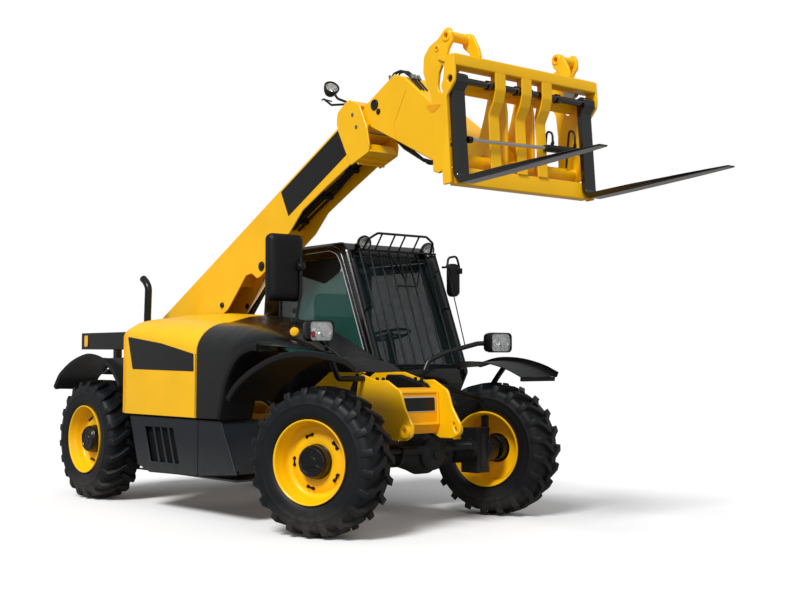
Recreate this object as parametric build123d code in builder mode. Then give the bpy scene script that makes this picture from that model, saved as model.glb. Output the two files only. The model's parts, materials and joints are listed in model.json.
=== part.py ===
from build123d import *
import os
from math import asin, atan2, cos, degrees, hypot, radians, sin, sqrt

os.makedirs("parts", exist_ok=True)

# Telehandler, in millimetres. +X is forward, +Y the driver's left, +Z up, and the wheels stand on z = 0.
# Outlines in side view are tables of (ahead of the front axle, height) unless their plane says otherwise.

# ---------------------------------------------------------------- driving dimensions
wheelbase = 3200
track = 1900
front_axle_x = 657  # puts the origin under the middle of the overall length
tyre_radius = 530
tyre_width = 350
rim_radius = 300
steer_front_right = 20.0  # degrees to the left at rest
steer_front_left = 15.0
running_gap = 0.3  # between a pin and its bore
pane_thickness = 6
sheet = 8  # pressed or moulded panels

# chassis
plate = 20
frame_right = -460  # outer face of the frame's right side
frame_left = 20
axle_radius = 92
differential_radius = 165
differential_y = 70
kingpin_offset = 235  # from the wheel's centre plane in to the kingpin
kingpin_radius = 32
yoke_gap = 280  # between the upper and the lower arm of the axle's end
yoke_arm = 36

# boom
lane_y = -220  # the boom's centre plane
boom_pitch = 28.2  # degrees at rest
boom_width = 274
boom_wall = 12
boom_top = 81  # from the pivot's height up to the top plate, across the boom
cheek_bottom = -237
box_bottom = -150
boom_tail = -130
boom_length = 3600
inner_clearance = 13
inner_tail = 450
inner_end = 3760
pivot_ahead = -3400
pivot_height = 1400
pivot_pin_radius = 40
pad_thickness = inner_clearance - running_gap
lift_lug = (1958, -338)
comp_lug = (1282, -327)
comp_pin_radius = 24
lift_base_ahead = -2880
lift_base_height = 600
lift_pin_radius = 30

# carriage
tilt_ahead = 1130
tilt_height = 2600
tilt_back = 4.0
tilt_pin_radius = 35
nose_width = 224
hitch_half_width = 610
hitch_plate = 24
frame_half_width = 700
fork_spacing = 1240
fork_width = 110
fork_thickness = 40
fork_length = 1200
shaft_radius = 24

# bodywork
side_face = -1090  # outer face of the engine pod
cab_right = 30
cab_left = 1030
cab_wall = 40
cab_floor_low, cab_floor = 860, 900
door_gap = 6
fender_width = 400

rear_axle_x = front_axle_x - wheelbase


# ---------------------------------------------------------------- planes and shared shapes
def side_plane(y):
    """Side view: local x ahead of the front axle, local y up. Extrudes towards -Y."""
    return Plane(origin=(front_axle_x, y, 0), x_dir=(1, 0, 0), z_dir=(0, -1, 0))


def tilted_plane(ahead, height, pitch, y):
    """Side view turned by a pitch about a point, for what lies along the boom or the forks."""
    return Plane(
        origin=(front_axle_x + ahead, y, height),
        x_dir=(cos(radians(pitch)), 0, sin(radians(pitch))),
        z_dir=(0, -1, 0),
    )


def boom_plane(y):
    return tilted_plane(pivot_ahead, pivot_height, boom_pitch, y)


def carriage_plane(y):
    return tilted_plane(tilt_ahead, tilt_height, tilt_back, y)


def slab(outline, view, y_low, y_high, mode=Mode.ADD):
    """A plate of the given side outline between two y values."""
    with BuildSketch(view(y_high)) as face:
        with BuildLine():
            Polyline(*outline, close=True)
        make_face()
    extrude(face.sketch, amount=y_high - y_low, mode=mode)


def disc(centre, radius, view, y_low, y_high, mode=Mode.ADD):
    """A round bar or a round hole along Y."""
    with BuildSketch(view(y_high)) as face:
        with Locations(centre):
            Circle(radius)
    extrude(face.sketch, amount=y_high - y_low, mode=mode)


def ring(centre, outer, inner, view, y_low, y_high):
    """A boss with its bore."""
    with BuildSketch(view(y_high)) as face:
        with Locations(centre):
            Circle(outer)
            Circle(inner, mode=Mode.SUBTRACT)
    extrude(face.sketch, amount=y_high - y_low)


def block(x_low, x_high, y_low, y_high, z_low, z_high, mode=Mode.ADD):
    """A plain block, x measured ahead of the front axle."""
    with Locations((front_axle_x + (x_low + x_high) / 2, (y_low + y_high) / 2, (z_low + z_high) / 2)):
        Box(x_high - x_low, y_high - y_low, z_high - z_low, mode=mode)


def rod(start, end, radius, mode=Mode.ADD):
    """A round bar between two points, x measured ahead of the front axle."""
    origin = Vector(start[0] + front_axle_x, start[1], start[2])
    along = Vector(end[0] + front_axle_x, end[1], end[2]) - origin
    with BuildSketch(Plane(origin=origin, z_dir=along)) as face:
        Circle(radius)
    extrude(face.sketch, amount=along.length, mode=mode)


def save(builder, name):
    builder.part.label = name
    export_step(builder.part, f"parts/{name}.step")


def on_boom(u, v):
    """Side-view place (ahead of the front axle, height) of a point given along and across the boom."""
    c, s = cos(radians(boom_pitch)), sin(radians(boom_pitch))
    return pivot_ahead + u * c - v * s, pivot_height + u * s + v * c


# ---------------------------------------------------------------- chassis
tower_right = (lane_y - boom_width / 2 - 6 - plate, lane_y - boom_width / 2 - 6)
tower_left = (lane_y + boom_width / 2 + 6, lane_y + boom_width / 2 + 6 + plate)

frame_top = 760  # along the middle, under the engine and beside the cab
frame_bottom = 430
axle_seat = 700
rear_top = 900
# (ahead, height) of one frame side: over the rear axle, under the cab, over the front axle, out to the nose lug
frame_side = [
    (-3780, axle_seat), (-3040, axle_seat), (-3010, frame_bottom), (-620, frame_bottom), (-420, axle_seat),
    (206, axle_seat), (300, 665), (440, 670), (510, 710), (525, 775), (430, 880), (385, 1030), (210, 1103), (120, 1092),
    (-105, 1150), (-440, 1150), (-620, 1050), (-900, frame_top), (-2600, frame_top), (-2800, rear_top), (-3780, rear_top),
]
# (ahead, height) of one boom tower plate
tower_side = [
    (-3570, 780), (-2980, 780), (-3220, 1330), (-3260, 1480), (-3340, 1540), (-3470, 1540), (-3540, 1460),
    (-3570, 1300),
]
member = 50
# x_low, x_high, z_low, z_high of the cross members
cross_members = [
    (-3780, -3740, 560, rear_top), (-3740, -3000, 780, 820), (-2920, -2820, frame_bottom, frame_bottom + member),
    (-2000, -1900, frame_bottom, frame_bottom + member), (-1300, -1200, frame_bottom, frame_bottom + member),
    (-700, -640, frame_bottom, frame_bottom + member),
]
outriggers = (-1850, -650)  # beams that carry the cab
outrigger_low, outrigger_high = 740, 850
clevis_gap = 80
lug_at = (455, 735)
with BuildPart() as chassis_frame:
    for low in (frame_right, frame_left - plate):
        slab(frame_side, side_plane, low, low + plate)
    for x_low, x_high, z_low, z_high in cross_members:
        block(x_low, x_high, frame_right, frame_left, z_low, z_high)
    for low, high in (tower_right, tower_left):
        slab(tower_side, side_plane, low, high)
        disc((pivot_ahead, pivot_height), pivot_pin_radius + running_gap, side_plane, low, high, Mode.SUBTRACT)
    for x in outriggers:
        block(x - 40, x + 40, frame_left - plate, cab_left - 50, outrigger_low, outrigger_high)
    clevis = [(-3010, frame_bottom), (-2760, frame_bottom), (-2790, 660), (-2960, 660)]
    for low in (lane_y - clevis_gap - plate, lane_y + clevis_gap):
        slab(clevis, side_plane, low, low + plate)
    disc((lift_base_ahead, lift_base_height), lift_pin_radius, side_plane, lane_y - clevis_gap, lane_y + clevis_gap)
    for low in (frame_right - 30, frame_left):
        disc(lug_at, 48, side_plane, low, low + 30)
    disc(lug_at, 20, side_plane, frame_right - 31, frame_left + 31, Mode.SUBTRACT)
save(chassis_frame, "chassis_frame")

with BuildPart() as headstock:
    slab(
        [(270, 700), (300, 760), (290, 900), (285, 1020), (200, 1040), (200, 1020), (262, 1000), (268, 900), (276, 770), (250, 712)],
        side_plane, frame_right + plate, frame_left - plate,
    )
save(headstock, "headstock")

jaw_plates, jaw_bore = (560, 660), 15
with BuildPart() as tow_hitch:
    block(-3860, -3780, lane_y - 90, lane_y + 90, 560, 700)
    for z in jaw_plates:
        block(-3920, -3860, lane_y - 60, lane_y + 60, z, z + 30)
        with Locations((front_axle_x - 3890, lane_y, z + 15)):
            Cylinder(jaw_bore, 30, mode=Mode.SUBTRACT)
save(tow_hitch, "tow_hitch")


# ---------------------------------------------------------------- axles, knuckles, wheels
def axle(name, x):
    """A steered drive axle: tube, differential, mounting pads and a yoke at each end."""
    kingpin_y = track / 2 - kingpin_offset
    with BuildPart() as beam:
        tube_end = kingpin_y - 95
        half, bulge = differential_radius, differential_radius - 10
        with BuildSketch(Plane(origin=(x, 0, tyre_radius), x_dir=(0, 1, 0), z_dir=(-1, 0, 0))) as section:
            with BuildLine():
                Polyline(
                    (-tube_end, 0), (-tube_end, axle_radius), (differential_y - half - 60, axle_radius),
                    (differential_y - 0.75 * half, bulge * 0.8), (differential_y - 0.3 * half, bulge), (differential_y + 0.3 * half, bulge),
                    (differential_y + 0.75 * half, bulge * 0.8), (differential_y + half + 60, axle_radius),
                    (tube_end, axle_radius), (tube_end, 0), close=True)
            make_face()
        revolve(section.sketch, Axis((x, 0, tyre_radius), (0, 1, 0)))
        for y in (frame_right + plate / 2, frame_left - plate / 2):
            block(x - front_axle_x - 70, x - front_axle_x + 70, y - 60, y + 60, tyre_radius, axle_seat)
        for side in (-1, 1):
            inner, outer = sorted((side * (kingpin_y - 125), side * (kingpin_y - 90)))
            block(x - front_axle_x - 90, x - front_axle_x + 90, inner, outer,
                  tyre_radius - yoke_gap / 2 - yoke_arm, tyre_radius + yoke_gap / 2 + yoke_arm)
            for z in (tyre_radius - yoke_gap / 2 - yoke_arm, tyre_radius + yoke_gap / 2):
                with BuildSketch(Plane((x, side * kingpin_y, z))) as arm:
                    Circle(75)
                    with Locations((0, -side * 60)):
                        Rectangle(150, 120)
                    Circle(kingpin_radius + running_gap, mode=Mode.SUBTRACT)
                extrude(arm.sketch, amount=yoke_arm)
    save(beam, name)


def wheel_axis(side, steer):
    """Outward direction of a wheel's axle, turned left by the steering angle."""
    return Vector(-side * sin(radians(steer)), side * cos(radians(steer)), 0)


def axle_section(centre, outward):
    """Section through a wheel's axle: local x up along the radius, local y outward along the axle."""
    up = Vector(0, 0, 1)
    return Plane(origin=centre, x_dir=up, z_dir=up.cross(outward))


def knuckle(name, x, side, steer):
    """The swivel housing between the yoke's arms, with its kingpins and the spindle."""
    kingpin = Vector(x, side * (track / 2 - kingpin_offset), tyre_radius)
    outward = wheel_axis(side, steer)
    height = yoke_gap - 2
    with BuildPart() as housing:
        with Locations(kingpin):
            Cylinder(72, height)
            Cylinder(kingpin_radius, yoke_gap + 2 * yoke_arm)
        with BuildSketch(Plane(origin=kingpin, z_dir=outward)) as spindle:
            Circle(105)
        extrude(spindle.sketch, amount=kingpin_offset - 120)
        with BuildSketch(Plane(origin=kingpin, z_dir=outward)) as stub:
            Circle(60)
        extrude(stub.sketch, amount=kingpin_offset)
    save(housing, name)


# (outward from the wheel's centre plane, radius) of the rim and hub section
rim_profile = [
    (-165, rim_radius), (-165, rim_radius - 22), (-150, rim_radius - 30), (-60, rim_radius - 52), (-20, rim_radius - 60), (0, 215),
    (-30, 190), (-30, 60 + running_gap), (30, 60 + running_gap), (30, 0), (150, 0), (150, 70), (135, 110), (60, 128), (10, 150),
    (10, 190), (35, 215), (40, rim_radius - 45), (120, rim_radius - 22), (165, rim_radius - 14), (165, rim_radius),
    (150, rim_radius), (140, rim_radius - 12), (-140, rim_radius - 12), (-150, rim_radius),
]
# (outward, radius) of the tyre section, out to the lugs' tips
bead = rim_radius - 11
tyre_profile = [
    (-138, bead), (138, bead), (138, rim_radius + 1), (tyre_width / 2 - 8, rim_radius + 40), (tyre_width / 2, rim_radius + 120),
    (tyre_width / 2 - 12, tyre_radius - 40), (tyre_width / 2 - 40, tyre_radius - 8), (0, tyre_radius),
    (-tyre_width / 2 + 40, tyre_radius - 8), (-tyre_width / 2 + 12, tyre_radius - 40), (-tyre_width / 2, rim_radius + 120),
    (-tyre_width / 2 + 8, rim_radius + 40), (-138, rim_radius + 1),
]


def turned(name, profile, centre, outward):
    """A revolved piece about a wheel's axle."""
    with BuildPart() as piece:
        with BuildSketch(axle_section(centre, outward)) as section:
            with BuildLine():
                Polyline(*[(radius, out) for out, radius in profile], close=True)
            make_face()
        revolve(section.sketch, Axis(centre, outward))
    save(piece, name)


axle("front_axle", front_axle_x)
axle("rear_axle", rear_axle_x)

# name, axle x, side (+1 is left), steering angle at rest
wheels = [
    ("front_right", front_axle_x, -1, steer_front_right),
    ("front_left", front_axle_x, 1, steer_front_left),
    ("rear_right", rear_axle_x, -1, 0.0),
    ("rear_left", rear_axle_x, 1, 0.0),
]
for name, x, side, steer in wheels:
    outward = wheel_axis(side, steer)
    centre = Vector(x, side * (track / 2 - kingpin_offset), tyre_radius) + outward * kingpin_offset
    knuckle(f"knuckle_{name}", x, side, steer)
    turned(f"rim_{name}", rim_profile, centre, outward)
    turned(f"tyre_{name}", tyre_profile, centre, outward)

# ---------------------------------------------------------------- power train
engine_inner = -500
with BuildPart() as engine_block:
    block(-2280, -1450, -1000, engine_inner, 470, 1180)
    for x in (-2200, -1530):
        block(x - 40, x + 40, engine_inner, frame_right, 520, 600)
save(engine_block, "engine_block")

gearbox_rear, gearbox_front = -1560, -1100
shaft_y, shaft_z = 110, 570
with BuildPart() as transmission:
    block(gearbox_rear, gearbox_front, frame_left, 230, frame_bottom + member, 740)
    for face, axle_ahead in ((gearbox_rear, -wheelbase), (gearbox_front, 0)):
        start = Vector(face, shaft_y, shaft_z)
        centre = Vector(axle_ahead, differential_y, tyre_radius)
        reach = (centre - start).length - differential_radius - running_gap
        end = start + (centre - start).normalized() * reach
        rod(tuple(start), tuple(end), 34)
save(transmission, "transmission")

with BuildPart() as fuel_tank:
    block(-2150, -1350, 300, 960, 370, outrigger_low)
    fillet(fuel_tank.edges().filter_by(Axis.X).group_by(Axis.Y)[-1], 50)
save(fuel_tank, "fuel_tank")

with BuildPart() as cab_step:
    for x in (-1350, -710):
        block(x, x + 20, 640, 1000, 390, outrigger_high)
    for z in (410, 610):
        block(-1330, -710, 700, 1000, z, z + 30)
save(cab_step, "cab_step")

# ---------------------------------------------------------------- bodywork on the right
pod_inner = -400
bonnet_rear, bonnet_front = -2500, -1350
bonnet_bottom, bonnet_top = 770, 1640
bonnet_hinge_y, bonnet_hinge_z = -412, 1620
bonnet_pin_radius = 8
# section of the bonnet across the machine: (y, z), from the hinge side out and down
bonnet_section = [
    (pod_inner, bonnet_top - 60), (pod_inner, bonnet_top), (-820, bonnet_top - 20), (-990, bonnet_top - 90),
    (side_face + 15, bonnet_top - 210), (side_face, bonnet_top - 330), (side_face, bonnet_bottom),
]


def across(x):
    """Plane across the machine at x ahead of the front axle: local x is +Y, local y is up. Extrudes towards +X."""
    return Plane(origin=(front_axle_x + x, 0, 0), x_dir=(0, 1, 0), z_dir=(1, 0, 0))


with BuildPart() as bonnet:
    with BuildSketch(across(bonnet_rear)) as section:
        with BuildLine():
            Polyline(*bonnet_section, (pod_inner, bonnet_bottom), close=True)
        make_face()
    extrude(section.sketch, amount=bonnet_front - bonnet_rear)
    with BuildSketch(across(bonnet_rear + sheet)) as hollow:
        with BuildLine():
            Polyline(
                (pod_inner + 1, bonnet_bottom - 1), (pod_inner + 1, bonnet_top - sheet), (-820, bonnet_top - 20 - sheet),
                (-990 + 4, bonnet_top - 90 - sheet), (side_face + 15 + sheet, bonnet_top - 210 - 2),
                (side_face + sheet, bonnet_top - 330), (side_face + sheet, bonnet_bottom - 1), close=True,
            )
        make_face()
    extrude(hollow.sketch, amount=bonnet_front - bonnet_rear - 2 * sheet, mode=Mode.SUBTRACT)
    for x in (bonnet_rear, bonnet_front - sheet):
        pin = Vector(x - 1, bonnet_hinge_y, bonnet_hinge_z)
        rod(tuple(pin), tuple(pin + Vector(sheet + 2, 0, 0)), bonnet_pin_radius + running_gap, Mode.SUBTRACT)
save(bonnet, "bonnet")

pod_rear = bonnet_front + 10
mirror_foot = (-600, -800, 1440)
# (ahead, height) along the arch over the front wheel, shared by both halves of the pod
pod_arch = [(pod_rear, frame_top), (-1040, frame_top), (-960, 1060), (-850, 1200), (-700, 1290), (-560, 1330)]
# (ahead, height) along the top beside the boom, rear to front
pod_crown = [(pod_rear, 1600), (-850, 1550), (-500, 1490), (-300, 1400), (80, 1250), (60, 1200)]
with BuildPart() as side_pod:
    slab(pod_arch + pod_crown[::-1], side_plane, -680, -385)
    slab(pod_arch + [(-560, 1400), (-850, 1500), (pod_rear, 1560)], side_plane, side_face, -680)
    rod((mirror_foot[0], mirror_foot[1], 1380), mirror_foot, 32)
    block(pod_rear, pod_rear + 40, -430, -390, 1590, bonnet_top - 5)
    rod((pod_rear + 20, bonnet_hinge_y, bonnet_hinge_z), (bonnet_front - 40, bonnet_hinge_y, bonnet_hinge_z), bonnet_pin_radius)
save(side_pod, "side_pod")

with BuildPart() as belly_skirt:
    skirt_side = [(-2450, frame_top), (-2300, 355), (-2130, 308), (-1334, 324), (-800, 365), (-1030, frame_top)]
    slab(skirt_side, side_plane, -1070, frame_right)
    slab(
        [(-2440, 790), (-2289, 366), (-2130, 316), (-1334, 332), (-812, 375), (-1050, 790)],
        side_plane, -1062, frame_right + 1, Mode.SUBTRACT,
    )
    for x in (-2130, -2000, -1870, -1740):
        block(x, x + 90, -1100, -1060, 420, 670, Mode.SUBTRACT)
save(belly_skirt, "belly_skirt")

deck_low, deck_high = 1100, 1150
deck_half_width = 690
lamp_bar_low, lamp_bar_high = 1335, 1487
with BuildPart() as rear_deck:
    block(-3570, -2560, -deck_half_width, tower_right[0], deck_low, deck_high)
    block(-3570, -2560, tower_left[1], deck_half_width, deck_low, deck_high)
    block(-3780, -3575, -deck_half_width, deck_half_width, deck_low, deck_high)
    block(-3780, -3575, frame_right, frame_left, rear_top, deck_low)
    block(-3575, -3570, -deck_half_width, tower_right[0], deck_low, deck_high)
    block(-3575, -3570, tower_left[1], deck_half_width, deck_low, deck_high)
    for y in (-600, 540):
        block(-3640, -3580, y, y + 60, deck_high, lamp_bar_low)
    block(-3640, -3580, -930, 930, lamp_bar_low, lamp_bar_high)
    block(bonnet_rear - 50, bonnet_rear - 10, -430, -390, deck_low, bonnet_top - 5)
    rod((bonnet_rear - 30, bonnet_hinge_y, bonnet_hinge_z), (bonnet_rear + 40, bonnet_hinge_y, bonnet_hinge_z), bonnet_pin_radius)
    block(-2570, bonnet_rear - 10, -430, tower_right[0], deck_low, deck_high)
    for low in (-930, 870):
        block(-3580, -2580, low, low + 60, lamp_bar_low, lamp_bar_high)
save(rear_deck, "rear_deck")

exhaust_y = -640
with BuildPart() as exhaust_pipe:
    rod((-2890, exhaust_y, deck_high), (-2890, exhaust_y, 1910), 35)
    rod((-2890, exhaust_y, 1895), (-2960, exhaust_y, 1985), 35)
save(exhaust_pipe, "exhaust_pipe")

fender_sheet = 22
# (ahead, height) along the crown of each fender, rear to front; the left front one starts at the cab
front_right_crown = [
    (-843, 953), (-580, 1116), (-328, 1210), (-119, 1251), (117, 1261), (359, 1242), (561, 1205), (652, 1158),
]
front_left_crown = [(-370, 1175), (-163, 1217), (76, 1210), (300, 1165), (470, 1102)]
rear_crown = [(-3811, 966), (-3684, 1085), (-3487, 1177), (-3267, 1236), (-3104, 1249), (-2780, 1160), (-2600, 1000)]


def crown_height(crown, x):
    """Height of a crown at x, between its points."""
    for (x_low, z_low), (x_high, z_high) in zip(crown, crown[1:]):
        if x_low <= x <= x_high:
            return z_low + (z_high - z_low) * (x - x_low) / (x_high - x_low)


def fender(crown, side, inner):
    under = [(x, z - fender_sheet) for x, z in reversed(crown)]
    low, high = sorted((side * inner, side * 1110))
    slab(crown + under, side_plane, low, high)


front_fender_inner, rear_fender_inner = 685, 700
with BuildPart() as front_fenders:
    fender(front_right_crown, -1, front_fender_inner)
    fender(front_left_crown, 1, front_fender_inner)
save(front_fenders, "front_fenders")

with BuildPart() as rear_fenders:
    for side in (-1, 1):
        fender(rear_crown, side, rear_fender_inner)
save(rear_fenders, "rear_fenders")


def prop(crown, x_low, x_high, z_low, y_low, y_high):
    """A tab that reaches up to the underside of a fender."""
    top = [(x, crown_height(crown, x) - fender_sheet) for x in (x_high, x_low)]
    slab([(x_low, z_low), (x_high, z_low)] + top, side_plane, y_low, y_high)


with BuildPart() as fender_brackets:
    block(-60, 0, front_fender_inner * -1 - 60, frame_right, 1085, 1125)
    prop(front_right_crown, -60, 0, 1125, -front_fender_inner - 60, -front_fender_inner - 20)
    block(-60, 0, frame_left, front_fender_inner + 60, 1085, 1125)
    prop(front_left_crown, -60, 0, 1125, front_fender_inner + 20, front_fender_inner + 60)
    for side in (-1, 1):
        low, high = sorted((side * 650, side * 680))
        block(-3230, -3170, low, high, deck_high, 1200)
        low, high = sorted((side * 650, side * 760))
        prop(rear_crown, -3230, -3170, 1190, low, high)
save(fender_brackets, "fender_brackets")

# ---------------------------------------------------------------- cab
cab_side = [
    (-610, 860), (-450, 1140), (-860, 2150), (-920, 2215), (-1850, 2205), (-2000, 2130), (-2080, 1300), (-1950, 860),
]
cab_hollow = [
    (-640, 900), (-500, 1140), (-895, 2115), (-940, 2170), (-1840, 2160), (-1965, 2100), (-2038, 1300), (-1920, 900),
]
door_outline = [(-1820, 905), (-700, 905), (-570, 1140), (-960, 2090), (-1820, 2090)]
side_window = [(-1800, 1260), (-610, 1260), (-960, 2090), (-1800, 2090)]
door_hinge_x, door_hinge_y = -1830, cab_left + 16
hinge_radius, hinge_pin_radius = 13, 7
hinge_heights = (1000, 1900)


def hinge_leaf(x_low, x_high, z_low, z_high):
    """A flat leaf from the cab's or the door's outer face out to the hinge barrel."""
    block(x_low, x_high, cab_left, door_hinge_y, z_low, z_high)


def barrel(z_low, z_high, radius, mode=Mode.ADD):
    rod((door_hinge_x, door_hinge_y, z_low), (door_hinge_x, door_hinge_y, z_high), radius, mode)


with BuildPart() as cab_frame:
    slab(cab_side, side_plane, cab_right, cab_left)
    slab(cab_hollow, side_plane, cab_right + cab_wall, cab_left - cab_wall, Mode.SUBTRACT)
    slab(side_window, side_plane, cab_right - 1, cab_right + cab_wall + 1, Mode.SUBTRACT)
    slab(door_outline, side_plane, cab_left - cab_wall - 1, cab_left + 1, Mode.SUBTRACT)
    # windscreen and rear window, cut straight through along X
    block(-1000, -300, cab_right + 60, cab_left - 60, 1180, 2090, Mode.SUBTRACT)
    block(-2200, -1900, cab_right + 80, cab_left - 80, 1330, 2060, Mode.SUBTRACT)
    for z in hinge_heights:
        hinge_leaf(door_hinge_x - 50, door_hinge_x, z, z + 40)
        barrel(z, z + 40, hinge_radius)
        barrel(z, z + 80, hinge_pin_radius)
    for x in outriggers:
        for y in (cab_right + 60, cab_left - 120):
            block(x - 30, x + 30, y - 30, y + 30, outrigger_high, cab_floor_low + 2)
save(cab_frame, "cab_frame")

with BuildPart() as cab_glass:
    slab(side_window, side_plane, cab_right + 10, cab_right + 10 + pane_thickness)
    slab([(-466, 1180), (-472, 1180), (-841, 2090), (-835, 2090)], side_plane, cab_right + 60, cab_left - 60)
    slab([(-2060, 1330), (-2054, 1330), (-1984, 2060), (-1990, 2060)], side_plane, cab_right + 80, cab_left - 80)
save(cab_glass, "cab_glass")

door_inner = [
    (-1820 + door_gap, 905 + door_gap), (-700 - door_gap, 905 + door_gap), (-570 - door_gap - 2, 1140), (-960 - door_gap, 2090 - door_gap),
    (-1820 + door_gap, 2090 - door_gap),
]
door_window = [(-1740, 1200), (-690, 1200), (-1010, 2010), (-1740, 2010)]
with BuildPart() as cab_door:
    slab(door_inner, side_plane, cab_left - cab_wall, cab_left)
    slab(door_window, side_plane, cab_left - cab_wall - 1, cab_left + 1, Mode.SUBTRACT)
    for z in hinge_heights:
        hinge_leaf(door_hinge_x, door_hinge_x + 60, z + 40 + running_gap, z + 80)
        barrel(z + 40 + running_gap, z + 80, hinge_radius)
        barrel(z + 39, z + 81, hinge_pin_radius + running_gap, Mode.SUBTRACT)
save(cab_door, "cab_door")
with BuildPart() as door_glass:
    slab(door_window, side_plane, cab_left - 23, cab_left - 23 + pane_thickness)
save(door_glass, "door_glass")

with BuildPart() as seat:
    block(-1620, -1200, 300, 760, 900, 1180)
    slab([(-1620, 1180), (-1200, 1180), (-1200, 1290), (-1520, 1270), (-1640, 1850), (-1760, 1850), (-1700, 1180)], side_plane, 290, 770)
save(seat, "seat")

with BuildPart() as steering_column:
    rod((-760, 530, cab_floor + running_gap + 35 * sin(atan2(140, 540))), (-900, 530, 1440), 35)
    with BuildSketch(Plane(origin=(front_axle_x - 900, 530, 1440), z_dir=(-140, 0, 540))) as wheel:
        Circle(190)
        Circle(165, mode=Mode.SUBTRACT)
        Rectangle(340, 30)
        Circle(50)
    extrude(wheel.sketch, amount=24)
save(steering_column, "steering_column")

with BuildPart() as dashboard:
    slab([(-660, 902), (-532, 1120), (-640, 1150), (-712, 902)], side_plane, cab_right + cab_wall, cab_left - cab_wall - 60)
save(dashboard, "dashboard")

guard_top, guard_foot = (-790, 2150), (-400, 1200)
guard_right, guard_left = 95, 965


def screen_x(z):
    """Where the cab's sloping front face stands at a height."""
    (low_x, low_z), (high_x, high_z) = cab_side[1], cab_side[2]
    return low_x + (high_x - low_x) * (z - low_z) / (high_z - low_z)


with BuildPart() as roof_guard:
    for y in (150, 260, 370, 480, 590, 700, 810, 910):
        rod((guard_top[0], y, guard_top[1]), (guard_foot[0], y, guard_foot[1]), 9)
    for x, z in (guard_top, guard_foot):
        rod((x, guard_right, z), (x, guard_left, z), 11)
        for y in (guard_right + 20, guard_left - 20):
            rod((x, y, z), (screen_x(z) + 4, y, z), 8)
    for y in (guard_right + 20, guard_left - 20):
        rod((guard_top[0], y, guard_top[1]), (-700, y, 2280), 9)
    rod((-700, guard_right, 2280), (-700, guard_left, 2280), 11)
save(roof_guard, "roof_guard")

# ---------------------------------------------------------------- lamps and mirrors
roof_z = 2215
with BuildPart() as roof_lamps:
    for y in (190, 870):
        rod((-870, y, roof_z + 55), (-815, y, roof_z + 45), 62)
        block(-935, -925, y - 20, y + 20, roof_z + running_gap, roof_z + 60)
        block(-935, -865, y - 20, y + 20, roof_z + 40, roof_z + 60)
save(roof_lamps, "roof_lamps")

with BuildPart() as headlamps:
    block(-230, -100, -880, -640, 1375, 1530)
    seat_z = crown_height(sorted(pod_crown[3:5]), -200)
    slab([(-230, crown_height(sorted(pod_crown[3:5]), -230)), (-180, crown_height(sorted(pod_crown[3:5]), -180)), (-180, 1380), (-230, 1380)],
         side_plane, -675, -645)
    block(150, 280, 560, 800, 1295, 1455)
    block(190, 230, 600, 640, 1150, 1300)
    block(-60, 230, 600, 640, 1125, 1150)
save(headlamps, "headlamps")

with BuildPart() as mirrors:
    block(-640, -560, -1010, -700, 1680, 2220)
    rod(mirror_foot, (-600, -800, 1690), 14)
    block(-640, -600, 1130, 1290, 1800, 2080)
    rod((-765, cab_left, 1780), (-765, 1070, 1780), 12)
    rod((-765, 1070, 1780), (-620, 1160, 1830), 12)
save(mirrors, "mirrors")

# ---------------------------------------------------------------- boom
near, far = lane_y - boom_width / 2, lane_y + boom_width / 2
# (along, across) the boom of one cheek plate, with its two lugs
cheek = [
    (boom_tail, boom_top), (boom_tail, cheek_bottom + 60), (boom_tail + 60, cheek_bottom), (400, cheek_bottom), (760, -403),
    (1338, -403), (1767, -298), (1830, -300), (1880, -400), (2040, -400), (2110, -310), (2425, -303), (2667, cheek_bottom),
    (boom_length, cheek_bottom), (boom_length, boom_top),
]
with BuildPart() as boom_outer:
    slab(cheek, boom_plane, near, near + boom_wall)
    slab(cheek, boom_plane, far - boom_wall, far)
    for v in (boom_top - boom_wall, box_bottom):
        slab([(boom_tail + 20, v), (boom_length, v), (boom_length, v + boom_wall), (boom_tail + 20, v + boom_wall)],
             boom_plane, near, far)
    slab([(150, box_bottom), (162, box_bottom), (162, boom_top), (150, boom_top)], boom_plane, near, far)
    disc((0, 0), pivot_pin_radius, boom_plane, tower_right[0] - 12, tower_left[1] + 12)
    for low in (near - 8, far - boom_wall - 12):
        disc(comp_lug, comp_pin_radius, boom_plane, low, low + boom_wall + 20)
    for low in (near - 6, far - boom_wall - 14):
        disc(lift_lug, lift_pin_radius + 8, boom_plane, low, low + boom_wall + 20)
save(boom_outer, "boom_outer")

collar = [
    (3373, -285), (3588, -318), (3629, -264), (3670, 87), (3585, 186), (3416, 190), (3365, 81),
]
with BuildPart() as boom_collar:
    for low in (near - 14, far):
        slab(collar, boom_plane, low, low + 14)
    slab([(3400, boom_top), (3640, boom_top), (3585, 186), (3430, 186)], boom_plane, near, far)
    slab([(3380, cheek_bottom), (3600, cheek_bottom), (3600, -300), (3400, -285)], boom_plane, near, far)
save(boom_collar, "boom_collar")

inner_low = box_bottom + boom_wall + inner_clearance
inner_high = boom_top - boom_wall - inner_clearance
inner_half = boom_width / 2 - boom_wall - inner_clearance
with BuildPart() as wear_pads:
    for low, high in ((inner_high + running_gap, inner_high + inner_clearance), (inner_low - inner_clearance, inner_low - running_gap)):
        slab([(3440, low), (3590, low), (3590, high), (3440, high)], boom_plane, lane_y - 90, lane_y + 90)
    for y_low in (lane_y - inner_half - inner_clearance, lane_y + inner_half + running_gap):
        slab([(3440, -100), (3590, -100), (3590, 30), (3440, 30)], boom_plane, y_low, y_low + pad_thickness)
save(wear_pads, "wear_pads")

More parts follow.
